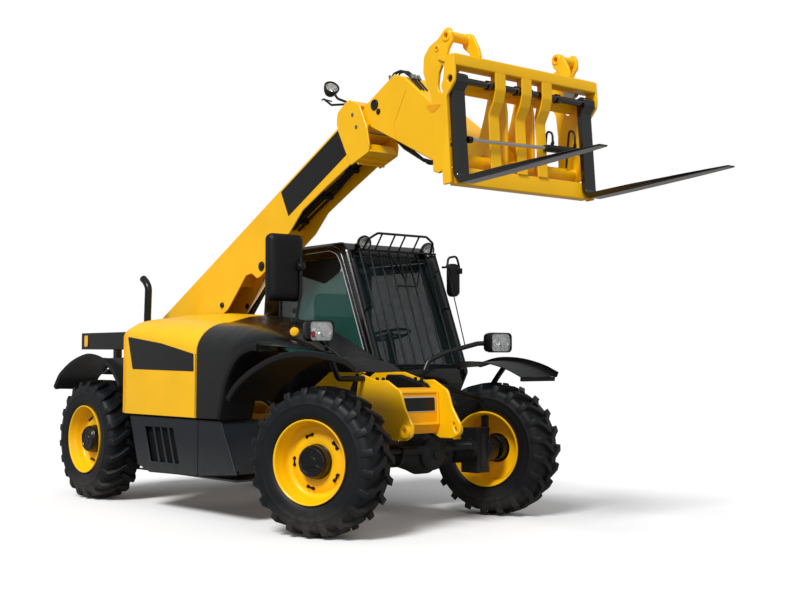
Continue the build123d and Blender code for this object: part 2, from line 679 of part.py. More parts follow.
with BuildPart() as boom_inner:
    slab([(inner_tail, inner_low), (inner_end, inner_low), (inner_end, inner_high), (inner_tail, inner_high)],
         boom_plane, lane_y - inner_half, lane_y + inner_half)
    slab([(inner_tail - 1, inner_low + 10), (inner_end - 40, inner_low + 10), (inner_end - 40, inner_high - 10), (inner_tail - 1, inner_high - 10)],
         boom_plane, lane_y - inner_half + 10, lane_y + inner_half - 10, Mode.SUBTRACT)
    slab([(inner_tail + 20, inner_high), (inner_tail + 120, inner_high), (inner_tail + 120, inner_high + pad_thickness), (inner_tail + 20, inner_high + pad_thickness)],
         boom_plane, lane_y - 90, lane_y + 90)
    slab([(inner_tail + 20, inner_low), (inner_tail + 120, inner_low), (inner_tail + 120, inner_low - pad_thickness), (inner_tail + 20, inner_low - pad_thickness)],
         boom_plane, lane_y - 90, lane_y + 90)
save(boom_inner, "boom_inner")

tilt_u = (tilt_ahead - pivot_ahead) * cos(radians(boom_pitch)) + (tilt_height - pivot_height) * sin(radians(boom_pitch))
tilt_v = -(tilt_ahead - pivot_ahead) * sin(radians(boom_pitch)) + (tilt_height - pivot_height) * cos(radians(boom_pitch))
# (along, across) the boom of the gooseneck, down to the tilt pin
nose_side = [
    (inner_end - 90, inner_high), (4083, 56), (4198, -158), (4560, tilt_v + 230), (tilt_u + 95, tilt_v + 40), (tilt_u + 60, tilt_v - 80),
    (tilt_u - 60, tilt_v - 90), (4129, -775), (3862, -402), (inner_end - 90, -139),
]
with BuildPart() as boom_nose:
    slab(nose_side, boom_plane, lane_y - nose_width / 2, lane_y + nose_width / 2)
    slab([(inner_end - 200, -500), (inner_end, -500), (inner_end, 200), (inner_end - 200, 200)],
         boom_plane, lane_y - inner_half - 1, lane_y + inner_half + 1, Mode.SUBTRACT)
    slab(nose_side[:1] + [(inner_end + 1, inner_high), (inner_end + 1, -139), (inner_end - 90, -139)], boom_plane,
         lane_y + inner_half, lane_y + inner_half + 6)
    slab(nose_side[:1] + [(inner_end + 1, inner_high), (inner_end + 1, -139), (inner_end - 90, -139)], boom_plane,
         lane_y - inner_half - 6, lane_y - inner_half)
    disc((tilt_u, tilt_v), tilt_pin_radius + running_gap, boom_plane, lane_y - nose_width, lane_y + nose_width, Mode.SUBTRACT)
save(boom_nose, "boom_nose")

with BuildPart() as boom_hoses:
    for y, v in ((lane_y - 70, -186), (lane_y - 30, -190), (lane_y + 20, -186), (lane_y + 60, -190)):
        start = on_boom(2250, v)
        end = on_boom(3360, v)
        rod((start[0], y, start[1]), (end[0], y, end[1]), 14)
    slab([(2800, box_bottom), (2840, box_bottom), (2840, -206), (2800, -206)], boom_plane, near + boom_wall, far - boom_wall)
save(boom_hoses, "boom_hoses")

with BuildPart() as boom_lamp:
    lamp = on_boom(3404, 440)
    foot = on_boom(3500, 196)
    slab([(3470, 187.9), (3530, 185.9), (3530, 200), (3470, 200)], boom_plane, lane_y - 110, lane_y - 70)
    rod((foot[0], lane_y - 90, foot[1]), (lamp[0], lane_y - 90, lamp[1]), 12)
    rod((lamp[0] - 40, lane_y - 90, lamp[1]), (lamp[0] + 50, lane_y - 90, lamp[1] + 10), 60)
save(boom_lamp, "boom_lamp")

# ---------------------------------------------------------------- lift cylinder
eye = on_boom(*lift_lug)
lift_length = hypot(eye[0] - lift_base_ahead, eye[1] - lift_base_height)
lift_angle = degrees(atan2(eye[1] - lift_base_height, eye[0] - lift_base_ahead))
barrel_length = 1300
barrel_bore, lift_rod_radius = 56, 35
piston_at = 610  # from the lower pin at rest, clear of both ends of the bore over the boom's whole lift


def cylinder_plane(y):
    """Side view along the lift cylinder, from its lower pin."""
    return tilted_plane(lift_base_ahead, lift_base_height, lift_angle, y)


def along_cylinder(start, radius, length, mode=Mode.ADD):
    section = cylinder_plane(lane_y)
    with BuildSketch(Plane(origin=section.from_local_coords((start, 0, 0)), z_dir=section.x_dir)) as face:
        Circle(radius)
    extrude(face.sketch, amount=length, mode=mode)


with BuildPart() as lift_barrel:
    along_cylinder(40, barrel_bore + 12, barrel_length - 40)
    ring((0, 0), 58, lift_pin_radius + running_gap, cylinder_plane, lane_y - 50, lane_y + 50)
    disc((0, 0), lift_pin_radius + running_gap, cylinder_plane, lane_y - 60, lane_y + 60, Mode.SUBTRACT)
    along_cylinder(90, barrel_bore, barrel_length - 120, Mode.SUBTRACT)
    along_cylinder(barrel_length - 60, lift_rod_radius + running_gap, 80, Mode.SUBTRACT)
save(lift_barrel, "lift_barrel")
with BuildPart() as lift_rod:
    along_cylinder(piston_at, lift_rod_radius, lift_length - piston_at - 40)
    along_cylinder(piston_at, barrel_bore - running_gap, 60)
    ring((lift_length, 0), 45, lift_pin_radius, cylinder_plane, lane_y - 35, lane_y + 35)
save(lift_rod, "lift_rod")

# ---------------------------------------------------------------- hitch, fork frame, forks
hitch_side = [
    (8, -132), (185, -119), (225, -86), (250, 292), (250, 466), (225, 480), (150, 350), (118, 348), (110, 420), (160, 560),
    (190, 640), (237, 700), (250, 764), (221, 816), (180, 800), (60, 720), (-46, 655), (-41, 447), (8, 250),
]
inner_hitch = [(-60, -60), (60, -110), (225, -86), (251, 292), (230, 500), (120, 520), (40, 300), (-70, 60)]
with BuildPart() as hitch:
    for side in (-1, 1):
        y = lane_y + side * hitch_half_width
        slab(hitch_side, carriage_plane, y - hitch_plate / 2, y + hitch_plate / 2)
        y = lane_y + side * (nose_width / 2 + 6 + hitch_plate / 2)
        slab(inner_hitch, carriage_plane, y - hitch_plate / 2, y + hitch_plate / 2)
    for centre, radius in (((175, 430), 46), ((150, -60), 46)):
        disc(centre, radius, carriage_plane, lane_y - hitch_half_width, lane_y + hitch_half_width)
    disc((0, 0), tilt_pin_radius, carriage_plane, lane_y - nose_width / 2 - 60, lane_y + nose_width / 2 + 60)
save(hitch, "hitch")

shaft_at = (305, 430)
frame_low, frame_high = lane_y - frame_half_width, lane_y + frame_half_width
with BuildPart() as fork_frame:
    slab([(250, 512), (352, 512), (352, 592), (172.4, 592)], carriage_plane, frame_low, frame_high)
    slab([(190, -245), (262, -245), (262, -130), (190, -130)], carriage_plane, frame_low + 60, frame_high - 60)
    swan = [(272, 560), (352, 512), (345, 380), (320, 330), (262, 250), (262, -140), (232, -140), (232, 300), (272, 400)]
    for y in (-500, -60, 60, 180, 500):
        slab(swan, carriage_plane, lane_y + y - 10, lane_y + y + 10)
    for y in (frame_low + 20, frame_low + 140, frame_high - 140, frame_high - 20):
        slab([(250, 592), (350, 592), (350, 640), (320, 720), (280, 720), (250, 660)], carriage_plane, y - 10, y + 10)
    for y in (frame_low + 80, frame_high - 80):
        disc((300, 680), 24, carriage_plane, y - 70, y + 70)
    for low in (frame_low, frame_high - 20):
        slab([(262, -245), (262, 330), (352, 420), (352, 592), (272, 592), (232, 400), (232, 100), (190, -100), (190, -245)],
             carriage_plane, low, low + 20)
    disc(shaft_at, shaft_radius + running_gap, carriage_plane, frame_low + 10, frame_high - 10, Mode.SUBTRACT)
save(fork_frame, "fork_frame")

with BuildPart() as fork_shaft:
    disc(shaft_at, shaft_radius, carriage_plane, frame_low + 20, frame_high - 20)
save(fork_shaft, "fork_shaft")

heel = -252
fork_back = 263
fork_outline = [
    (fork_back, 470), (fork_back, heel + 60), (fork_back + 25, heel + 12), (fork_back + 70, heel), (fork_back + fork_length, heel + 18),
    (fork_back + fork_length, heel + 26), (fork_back + 400, heel + fork_thickness), (fork_back + fork_thickness + 20, heel + fork_thickness),
    (fork_back + fork_thickness, heel + 60), (fork_back + fork_thickness, 370), (fork_back + 80, 400), (fork_back + 80, 460),
    (fork_back + 40, 480),
]
for name, side in (("fork_right", -1), ("fork_left", 1)):
    y = lane_y + side * fork_spacing / 2
    with BuildPart() as fork:
        slab(fork_outline, carriage_plane, y - fork_width / 2, y + fork_width / 2)
        disc(shaft_at, shaft_radius + running_gap, carriage_plane, y - fork_width, y + fork_width, Mode.SUBTRACT)
    save(fork, name)

with BuildPart() as positioner:
    disc((300, 60), 30, carriage_plane, lane_y + 60, lane_y + 470)
    disc((300, 60), 14, carriage_plane, lane_y - fork_spacing / 2 + fork_width / 2, lane_y + 60)
save(positioner, "positioner")
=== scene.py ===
import json
import math
import random

import bpy
import bmesh
import numpy as np
from mathutils import Matrix, Vector
from mathutils.geometry import tessellate_polygon


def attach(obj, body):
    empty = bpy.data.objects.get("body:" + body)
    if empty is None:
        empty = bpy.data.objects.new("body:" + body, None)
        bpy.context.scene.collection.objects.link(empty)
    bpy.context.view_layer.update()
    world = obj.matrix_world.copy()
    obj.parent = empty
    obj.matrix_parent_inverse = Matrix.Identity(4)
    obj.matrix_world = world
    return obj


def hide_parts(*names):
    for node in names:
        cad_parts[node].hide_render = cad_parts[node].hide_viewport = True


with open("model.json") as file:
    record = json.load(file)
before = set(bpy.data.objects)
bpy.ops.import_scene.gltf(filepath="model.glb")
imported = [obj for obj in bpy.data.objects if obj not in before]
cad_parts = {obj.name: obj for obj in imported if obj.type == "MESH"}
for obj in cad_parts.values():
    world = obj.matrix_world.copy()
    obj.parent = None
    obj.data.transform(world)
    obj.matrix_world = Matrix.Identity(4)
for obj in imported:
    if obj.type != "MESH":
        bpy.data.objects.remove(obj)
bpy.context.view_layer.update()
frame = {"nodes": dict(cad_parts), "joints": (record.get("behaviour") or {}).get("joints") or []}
random.seed(7)

# ---- places taken from the frame
joints = {joint["name"]: joint for joint in frame["joints"]}


def joint_place(name):
    return Vector(joints[name]["pos_m"])


FRONT_X = joint_place("steer_front_right").x
PIVOT = joint_place("boom_lift")
ALONG = Vector(joints["boom_extend"]["axis"]).normalized()
ACROSS = Vector((-ALONG.z, 0, ALONG.x))
TILT = joint_place("carriage_tilt")
TILT_BACK = math.radians(4)
LANE = PIVOT.y  # the boom's middle plane
WHEELS = ("front_right", "front_left", "rear_right", "rear_left")
FORWARD, LEFT, UP, ORIGIN = (1, 0, 0), (0, 1, 0), (0, 0, 1), (0, 0, 0)


def at(ahead, y, z):
    """A point by its distance ahead of the front axle, its y and its height."""
    return Vector((FRONT_X + ahead, y, z))


def on_boom(u, v, y=0.0):
    """A point along and across the boom, y off its middle plane."""
    point = PIVOT + ALONG * u + ACROSS * v
    return Vector((point.x, LANE + y, point.z))


def on_carriage(a, b, y=0.0):
    """A point ahead of and above the tilt pin, in the carriage's own lean, y off the boom's middle plane."""
    c, s = math.cos(TILT_BACK), math.sin(TILT_BACK)
    return Vector((TILT.x + a * c - b * s, LANE + y, TILT.z + a * s + b * c))


# Each of these makes a view for flat outlines: view(u, v, depth) gives the point.
def across(x):
    return lambda y, z, depth: at(x + depth, y, z)


def car_side(y):
    return lambda u, v, depth: at(u, y + depth, v)


def boom_side(y):
    return lambda u, v, depth: on_boom(u, v, y + depth)


def boom_flat(u_from, v_from):
    return lambda u, y, depth: on_boom(u_from + u, v_from + depth, y)


def carriage_side(y):
    return lambda a, b, depth: on_carriage(a, b, y + depth)


# ---- outlines and lines
def mm(text):
    """Points given in millimetres as text, values parted by commas and points by spaces. Returns metres."""
    return [tuple(float(value) / 1000 for value in point.split(",")) for point in text.split()]


def metres(points):
    return mm(points) if isinstance(points, str) else points


def places(text):
    return [at(*point) for point in mm(text)]


def cut_corner(a, b, c, radius):
    """Start, end and centre of the curve that rounds the corner b, or None where it stays as it is."""
    before, after = a - b, c - b
    reach = 0.48 * min(before.length, after.length)
    angle = before.angle(after, math.pi)
    if radius <= 0 or reach < 1e-6 or angle > math.radians(176):
        return None
    cut = min(radius / math.tan(angle / 2), reach)
    before, after = before.normalized(), after.normalized()
    return b + before * cut, b + after * cut, b + (before + after).normalized() * (cut / math.cos(angle / 2))


def fillet(points, radius=0.02, steps=4):
    """A closed outline with its corners rounded; a point may carry its own radius as a third value."""
    out = []
    points = metres(points)
    for i, point in enumerate(points):
        a, b, c = (Vector(p[:2]) for p in (points[i - 1], point, points[(i + 1) % len(points)]))
        corner = cut_corner(a, b, c, point[2] if len(point) > 2 else radius)
        if corner is None:
            out.append(b)
            continue
        start, end, centre = corner
        turn = (start - centre).angle_signed(end - centre)
        out += [centre + Matrix.Rotation(-turn * k / steps, 2) @ (start - centre) for k in range(steps + 1)]
    return out


def rect(corners, radius=0.02):
    """A rounded rectangle from two opposite corners."""
    (a, b), (c, d) = metres(corners)
    return fillet([(a, b), (c, b), (c, d), (a, d)], radius)


def centred(half_u, half_v, radius, steps=5):
    """A rounded rectangle about the origin."""
    return fillet([(-half_u, -half_v), (half_u, -half_v), (half_u, half_v), (-half_u, half_v)], radius, steps)


def circle(cx, cy, radius, count=28):
    angles = [math.tau * k / count for k in range(count)]
    return [Vector((cx + radius * math.cos(a), cy + radius * math.sin(a))) for a in angles]


def area(loop):
    return sum(a.x * b.y - b.x * a.y for a, b in zip(loop, loop[1:] + loop[:1])) / 2


def inset(loop, amount):
    """Moves a loop to its left by amount."""
    out = []
    for i, b in enumerate(loop):
        d, e = (b - loop[i - 1]), (loop[(i + 1) % len(loop)] - b)
        if d.length < 1e-7 or e.length < 1e-7:
            out.append(b)
            continue
        d.normalize()
        e.normalize()
        n, m = Vector((-d.y, d.x)), Vector((-e.y, e.x))
        out.append(b + (n + m) * (amount / max(0.35, 1 + n.dot(m))))
    return out


def triangles(loops):
    return tessellate_polygon([[Vector((p.x, p.y, 0)) for p in loop] for loop in loops])


def smooth_line(points, count):
    """Points evenly spread along a Catmull-Rom curve through the given ones."""
    pts = np.array(metres(points), float)
    padded = np.vstack([2 * pts[0] - pts[1], pts, 2 * pts[-1] - pts[-2]])
    fine = []
    for i in range(len(pts) - 1):
        p0, p1, p2, p3 = padded[i:i + 4]
        for t in np.linspace(0, 1, 12, endpoint=False):
            fine.append(0.5 * (2 * p1 + (p2 - p0) * t + (2 * p0 - 5 * p1 + 4 * p2 - p3) * t * t
                               + (3 * p1 - p0 - 3 * p2 + p3) * t ** 3))
    fine = np.array(fine + [pts[-1]])
    length = np.concatenate([[0], np.cumsum(np.linalg.norm(np.diff(fine, axis=0), axis=1))])
    where = np.linspace(0, length[-1], count)
    return [Vector([np.interp(w, length, column) for column in fine.T]) for w in where]


def bent(points, radius, steps=6):
    """An open 3-D line with its corners rounded."""
    out = [points[0]]
    for a, b, c in zip(points, points[1:], points[2:]):
        corner = cut_corner(a, b, c, radius)
        if corner is None:
            out.append(b)
            continue
        for t in (k / steps for k in range(steps + 1)):
            out.append(corner[0] * (1 - t) ** 2 + b * 2 * t * (1 - t) + corner[1] * t * t)
    return out + [points[-1]]


class Piece:
    """One Blender object, put together from several shapes."""

    def __init__(self, name, material=None, body="chassis", replaces="", slot=None):
        self.name, self.body, self.material, self.replaces = name, body, material, replaces
        self.slot = slot or slot_of.get(material)
        self.verts, self.faces = [], []

    def add(self, verts, faces):
        base = len(self.verts)
        self.verts += [tuple(v) for v in verts]
        self.faces += [tuple(base + i for i in face) for face in faces]
        return self

    def grid(self, rows, close_rows=False, close_columns=False, flip=False, caps=0):
        """A surface through rows of points. With caps, 1 closes the first row and 2 the last one as well."""
        count, width = len(rows), len(rows[0])
        faces = []
        for i in range(count if close_rows else count - 1):
            for j in range(width if close_columns else width - 1):
                a, b = i * width + j, i * width + (j + 1) % width
                c, d = ((i + 1) % count) * width + (j + 1) % width, ((i + 1) % count) * width + j
                faces.append((a, d, c, b) if flip else (a, b, c, d))
        if caps:
            faces.append(tuple(range(width)))
        if caps > 1:
            faces.append(tuple((count - 1) * width + j for j in reversed(range(width))))
        return self.add([p for row in rows for p in row], faces)

    def shell(self, rows, thickness):
        """A sheet through rows of points, as thick on the side opposite to the grid's normal, edges closed."""
        grid = np.array([[tuple(p) for p in row] for row in rows])
        normal = np.cross(np.gradient(grid, axis=0), np.gradient(grid, axis=1))
        normal /= np.maximum(np.linalg.norm(normal, axis=2, keepdims=True), 1e-9)
        n, m = grid.shape[:2]
        start = len(self.verts)
        self.grid(grid, flip=True).grid(grid - normal * thickness)
        edge = [(0, j) for j in range(m)] + [(i, m - 1) for i in range(1, n)]
        edge += [(n - 1, j) for j in range(m - 2, -1, -1)] + [(i, 0) for i in range(n - 2, 0, -1)]
        ids = [start + i * m + j for i, j in edge]
        self.faces += [(a, b, n * m + b, n * m + a) for a, b in zip(ids, ids[1:] + ids[:1])]
        return self

    def plate(self, outline, view, low, high, edge=0.003, holes=()):
        """A plate of a flat outline between two depths, with eased edges."""
        loops = [[Vector(p[:2]) for p in loop] for loop in (metres(outline), *holes)]
        for i, loop in enumerate(loops):
            if (area(loop) < 0) if i == 0 else (area(loop) > 0):
                loop.reverse()
        edge = min(edge, (high - low) * 0.45)
        tight = [inset(loop, edge) for loop in loops]
        verts, faces, rings = [], [], []
        for source, depth in ((tight, low), (loops, low + edge), (loops, high - edge), (tight, high)):
            rings.append(len(verts))
            verts += [view(p.x, p.y, depth) for loop in source for p in loop]
        for tri in triangles(tight):
            faces.append(tuple(rings[0] + i for i in tri))
            faces.append(tuple(rings[3] + i for i in reversed(tri)))
        for low_ring, high_ring in zip(rings, rings[1:]):
            start = 0
            for size in map(len, loops):
                for k in range(size):
                    a, b = start + k, start + (k + 1) % size
                    faces.append((low_ring + a, low_ring + b, high_ring + b, high_ring + a))
                start += size
        return self.add(verts, faces)

    def box(self, low, high, edge=0.004, turn=None, about=None):
        """A box with eased edges between two corners, maybe turned about a point."""
        low, high = Vector(low), Vector(high)
        bm = bmesh.new()
        bmesh.ops.create_cube(bm, size=1)
        size, middle = high - low, (low + high) / 2
        for v in bm.verts:
            v.co = Vector((v.co.x * size.x, v.co.y * size.y, v.co.z * size.z)) + middle
        edge = min(edge, min(size) * 0.45)
        bmesh.ops.bevel(bm, geom=list(bm.edges), offset=edge, segments=2, profile=0.5, affect="EDGES")
        if turn is not None:
            bmesh.ops.rotate(bm, verts=bm.verts, cent=about, matrix=turn)
        bm.verts.index_update()
        self.add([v.co for v in bm.verts], [[v.index for v in f.verts] for f in bm.faces])
        bm.free()
        return self

    def block(self, corners, edge=0.004):
        return self.box(*places(corners), edge)

    def sweep(self, section, path, side_axis=None):
        """A closed section (s, t) carried along a path: s along the side axis, t along the path's normal."""
        rows = []
        previous = None
        for i, point in enumerate(path):
            tangent = (path[min(i + 1, len(path) - 1)] - path[max(i - 1, 0)]).normalized()
            if side_axis is not None:
                previous = Vector(side_axis)
            if previous is None:
                guess = Vector(UP) if abs(tangent.z) < 0.9 else Vector(FORWARD)
                s = guess.cross(tangent).normalized()
            else:
                s = (previous - tangent * previous.dot(tangent)).normalized()
            previous = s
            t = tangent.cross(s)
            rows.append([point + s * p[0] + t * p[1] for p in metres(section)])
        return self.grid(rows, close_columns=True, flip=True, caps=2)

    def tube(self, points, radius, sides=12, bend=0.0):
        points = places(points) if isinstance(points, str) else points
        return self.sweep(circle(0, 0, radius, sides), bent(points, bend) if bend else points)

    def lathe(self, profile, centre, axis, segments=48, ring=False):
        """A profile of (along the axis, radius) turned about it; a ring's profile is closed."""
        centre, axis = Vector(centre), Vector(axis).normalized()
        first = Vector(UP) if abs(axis.z) < 0.9 else Vector(FORWARD)
        first = (first - axis * first.dot(axis)).normalized()
        second = axis.cross(first)
        rows = []
        for k in range(segments):
            angle = math.tau * k / segments
            out = first * math.cos(angle) + second * math.sin(angle)
            rows.append([centre + axis * w + out * max(r, 1e-5) for w, r in metres(profile)])
        return self.grid(rows, close_rows=True, close_columns=ring)

    def ring(self, profile, centre, axis, segments=48):
        return self.lathe(profile, centre, axis, segments, ring=True)

    def bolt(self, centre, axis, radius=0.012, height=0.008):
        """A hexagon head on a washer."""
        low, wide = height * 0.25, radius * 1.1
        self.ring([(0, 0), (0, radius * 1.5), (low, radius * 1.45), (low, 0)], centre, axis, 20)
        return self.ring([(low, 0), (low, wide), (height * 0.9, wide), (height, radius * 0.95), (height, 0)],
                         centre, axis, 6)

    def copy_turned(self, source, matrix):
        """Adds another piece's shapes, moved by a matrix."""
        return self.add([matrix @ Vector(v) for v in source.verts], source.faces)

    def done(self, angle=38):
        """Makes the object, smooth but for edges sharper than the angle, puts it on its body and hides the CAD
        nodes it replaces.
        """
        mesh = bpy.data.meshes.new(self.name)
        mesh.from_pydata(self.verts, [], self.faces)
        mesh.validate()
        bm = bmesh.new()
        bm.from_mesh(mesh)
        bmesh.ops.recalc_face_normals(bm, faces=bm.faces)
        bm.to_mesh(mesh)
        bm.free()
        mesh.shade_smooth()
        mesh.set_sharp_from_angle(angle=math.radians(angle))
        mesh.materials.append(self.material)
        piece = bpy.data.objects.new(self.name, mesh)
        bpy.context.scene.collection.objects.link(piece)
        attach(piece, self.body)
        if self.replaces:
            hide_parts(*self.replaces.split())
        return piece


# ---- materials
COLOUR_MIX = {"data_type": "RGBA"}


def node_maker(owner):
    """Makes nodes in a material's or world's tree. Values are numbers, or the sockets that feed them;
    in_N is an input by its number. Returns the named output, or the node."""
    owner.use_nodes = True
    nodes, links = owner.node_tree.nodes, owner.node_tree.links
    waiting = {made.name: made for made in nodes}  # the nodes that a new tree starts with

    def node(kind, output=None, settings=(), **values):
        made = waiting.pop(kind) if kind in waiting else nodes.new("ShaderNode" + kind)
        for key, value in dict(settings).items():
            setattr(made, key, value)
        for key, value in values.items():
            socket = made.inputs[int(key[3:]) if key.startswith("in_") else key.replace("_", " ")]
            if isinstance(value, bpy.types.NodeSocket):
                links.new(value, socket)
            else:
                socket.default_value = value
        return made.outputs[output] if output else made
    return node


def linear(colour):
    """sRGB 0-255 to linear."""
    return tuple(c / 255 / 12.92 if c <= 10 else ((c / 255 + 0.055) / 1.055) ** 2.4 for c in colour) + (1,)


def surface(name, colour, roughness=0.4, metallic=0.0, coat=0.0, specular=0.5, tone=(0.9, 1.06), tone_scale=3.0,
            rough_spread=0.08, grain=0.0, grain_scale=400.0, ease=0.0, wear=0.0, dust=None):
    """A painted, moulded or cast surface: tone and gloss vary slowly, a fine grain gives bump, edges are eased
    and worn lighter. Dust is its amount, the height where it is full and the height where it ends."""
    mat, colour = bpy.data.materials.new(name), linear(colour)
    node = node_maker(mat)
    place = node("TexCoord", "Object")
    noise = node("TexNoise", "Fac", Scale=tone_scale, Detail=5, Vector=place)
    spread = node("MapRange", "Result", From_Min=0.3, From_Max=0.7, To_Min=tone[0], To_Max=tone[1], Value=noise)
    shade = node("Mix", "Result", {**COLOUR_MIX, "blend_type": "MULTIPLY"}, Factor=1, A=colour, B=spread)
    fine = node("TexNoise", "Fac", Scale=tone_scale * 6, Detail=4, Vector=place)
    gloss = node("MapRange", "Result", To_Min=max(0.02, roughness - rough_spread),
                 To_Max=min(1, roughness + rough_spread), Value=fine)
    normal = {}
    if ease > 0:
        normal = {"Normal": node("Bevel", "Normal", {"samples": 4}, Radius=ease)}
        if wear > 0:
            plain = node("NewGeometry", "Normal")
            alike = node("VectorMath", "Value", {"operation": "DOT_PRODUCT"}, in_0=normal["Normal"], in_1=plain)
            edge = node("MapRange", "Result", From_Min=0.99, From_Max=0.8, To_Max=wear, Value=alike)
            lighter = tuple(min(1, c * 1.4 + 0.06) for c in colour[:3]) + (1,)
            shade = node("Mix", "Result", COLOUR_MIX, Factor=edge, A=shade, B=lighter)
    if dust:
        amount, full, none = dust
        height = node("SeparateXYZ", "Z", Vector=place)
        share = node("MapRange", "Result", From_Min=none, From_Max=full, To_Max=amount, Value=height)
        factor = node("Math", "Value", {"operation": "MULTIPLY"}, in_0=share, in_1=fine)
        shade = node("Mix", "Result", COLOUR_MIX, Factor=factor, A=shade, B=linear((120, 116, 108)))
    if grain > 0:
        grains = node("TexNoise", "Fac", Scale=grain_scale, Detail=3, Vector=place)
        normal = {"Normal": node("Bump", "Normal", Strength=grain, Distance=0.002, Height=grains, **normal)}
    node("Principled BSDF", Metallic=metallic, Coat_Weight=coat, Coat_Roughness=0.12,
         Specular_IOR_Level=specular, Roughness=gloss, Base_Color=shade, **normal)
    return mat


def pane(name, tint, opacity, roughness=0.02, coat=0.5, specular=0.5):
    """Tinted glass that is seen through, a little more in some places than in others."""
    mat = bpy.data.materials.new(name)
    node = node_maker(mat)
    noise = node("TexNoise", "Fac", Scale=2.5, Vector=node("TexCoord", "Object"))
    alpha = node("MapRange", "Result", To_Min=opacity - 0.05, To_Max=opacity + 0.05, Value=noise)
    node("Principled BSDF", Base_Color=linear(tint), Roughness=roughness, Coat_Weight=coat,
         Specular_IOR_Level=specular, Alpha=alpha)
    return mat


paint = surface("paint_yellow", (254, 193, 4), 0.36, coat=0.15, specular=0.3, tone=(0.95, 1.03),
                grain=0.05, grain_scale=60, ease=0.005, wear=0.35)
paint_cast = surface("paint_yellow_cast", (246, 168, 4), 0.42, coat=0.05, specular=0.3, tone=(0.9, 1.04),
                     grain=0.2, grain_scale=150, ease=0.004, wear=0.3)
paint_black = surface("paint_black", (10, 11, 13), 0.3, coat=0.12, specular=0.35, grain=0.08,
                      grain_scale=120, ease=0.004, wear=0.12)
gloss_black = surface("cab_black", (9, 10, 12), 0.2, coat=0.5, ease=0.006, wear=0.1)
plastic = surface("moulded_black", (14, 15, 18), 0.46, specular=0.28, tone=(0.85, 1.1), grain=0.35,
                  grain_scale=900, ease=0.006, wear=0.2)
plastic_gloss = surface("moulded_gloss", (8, 9, 11), 0.26, specular=0.35, coat=0.1, grain=0.12,
                        grain_scale=500, ease=0.006)
grey_panel = surface("skirt_grey", (27, 31, 37), 0.42, specular=0.3, grain=0.15, grain_scale=600,
                     ease=0.005, wear=0.15, dust=(0.25, 0.3, 0.6))
rubber = surface("tyre_rubber", (15, 17, 20), 0.5, specular=0.3, tone=(0.8, 1.15), tone_scale=6, grain=0.4,
                 grain_scale=260, ease=0.004, wear=0.25, dust=(0.5, 0.0, 0.25))
hose_black = surface("hose_rubber", (24, 24, 25), 0.42, specular=0.35, grain=0.3, grain_scale=700)
cast = surface("cast_dark", (18, 20, 24), 0.45, metallic=0.1, specular=0.3, tone=(0.8, 1.1), tone_scale=8,
               grain=0.5, grain_scale=220, ease=0.004, wear=0.3, dust=(0.35, 0.2, 0.6))
chrome = surface("chrome_rod", (205, 208, 212), 0.12, metallic=1.0, tone=(0.92, 1.03), rough_spread=0.03)
steel = surface("zinc_steel", (150, 152, 155), 0.35, metallic=0.9, tone=(0.8, 1.05), grain=0.2)
silver = surface("silver_paint", (176, 180, 184), 0.3, metallic=0.6, coat=0.3, grain=0.1)
reflector = surface("lamp_reflector", (225, 228, 228), 0.12, metallic=0.95, tone=(0.7, 1.1), tone_scale=40)
lens = pane("lamp_lens", (235, 240, 238), 0.18)
amber = surface("lamp_amber", (255, 190, 0), 0.15, coat=0.6, tone=(0.9, 1.1), tone_scale=60)
red = surface("lamp_red", (150, 16, 14), 0.18, coat=0.6, tone=(0.85, 1.1), tone_scale=60)
glass = pane("cab_glass_green", (44, 96, 86), 0.50, roughness=0.05, coat=0.2, specular=0.4)
# a darker, less clear copy of the green cab glass for the windscreen and rear pane: painted shade
glass_painted_shade = pane("screen_glass_painted_shade", (8, 26, 29), 0.60, roughness=0.12, coat=0.0, specular=0.15)
cloth = surface("seat_cloth", (38, 38, 42), 0.85, specular=0.2, tone=(0.8, 1.15), tone_scale=30, grain=0.7,
                grain_scale=500)
nylon = surface("nylon_pad", (215, 212, 200), 0.5, grain=0.2)
shade_dark = surface("inner_dark", (12, 12, 13), 0.7, specular=0.2, grain=0.2)
# light grey for the painted highlight along the near cab pillar, and for the rim round the blank plate
highlight_and_rim_grey = surface("painted_highlight_and_plate_rim", (196, 199, 203), 0.4, tone=(0.95, 1.02))
boot = surface("gaiter_rubber", (16, 16, 17), 0.5, specular=0.3, grain=0.3, grain_scale=300)
bar_black = surface("bar_black", (8, 8, 10), 0.16, specular=0.6, coat=0.6, grain=0.05)
fork_paint = surface("fork_black", (8, 8, 10), 0.24, specular=0.5, coat=0.5, grain=0.1, grain_scale=90,
                     ease=0.004, wear=0.12)

SLOTS = {
    "yellow_paint": (paint, paint_cast), "black_paint": (paint_black, bar_black, fork_paint),
    "black_plastic": (plastic, plastic_gloss, grey_panel, shade_dark), "cab_black": (gloss_black,),
    "green_glass": (glass, glass_painted_shade), "tyre_rubber": (rubber,), "cast_dark": (cast,),
    "chrome_rod": (chrome, steel, silver), "hose_rubber": (hose_black, boot),
    "lamp": (reflector, lens, amber, red, highlight_and_rim_grey), "seat_cloth": (cloth,), "nylon": (nylon,),
}
slot_of = {look: slot for slot, looks in SLOTS.items() for look in looks}

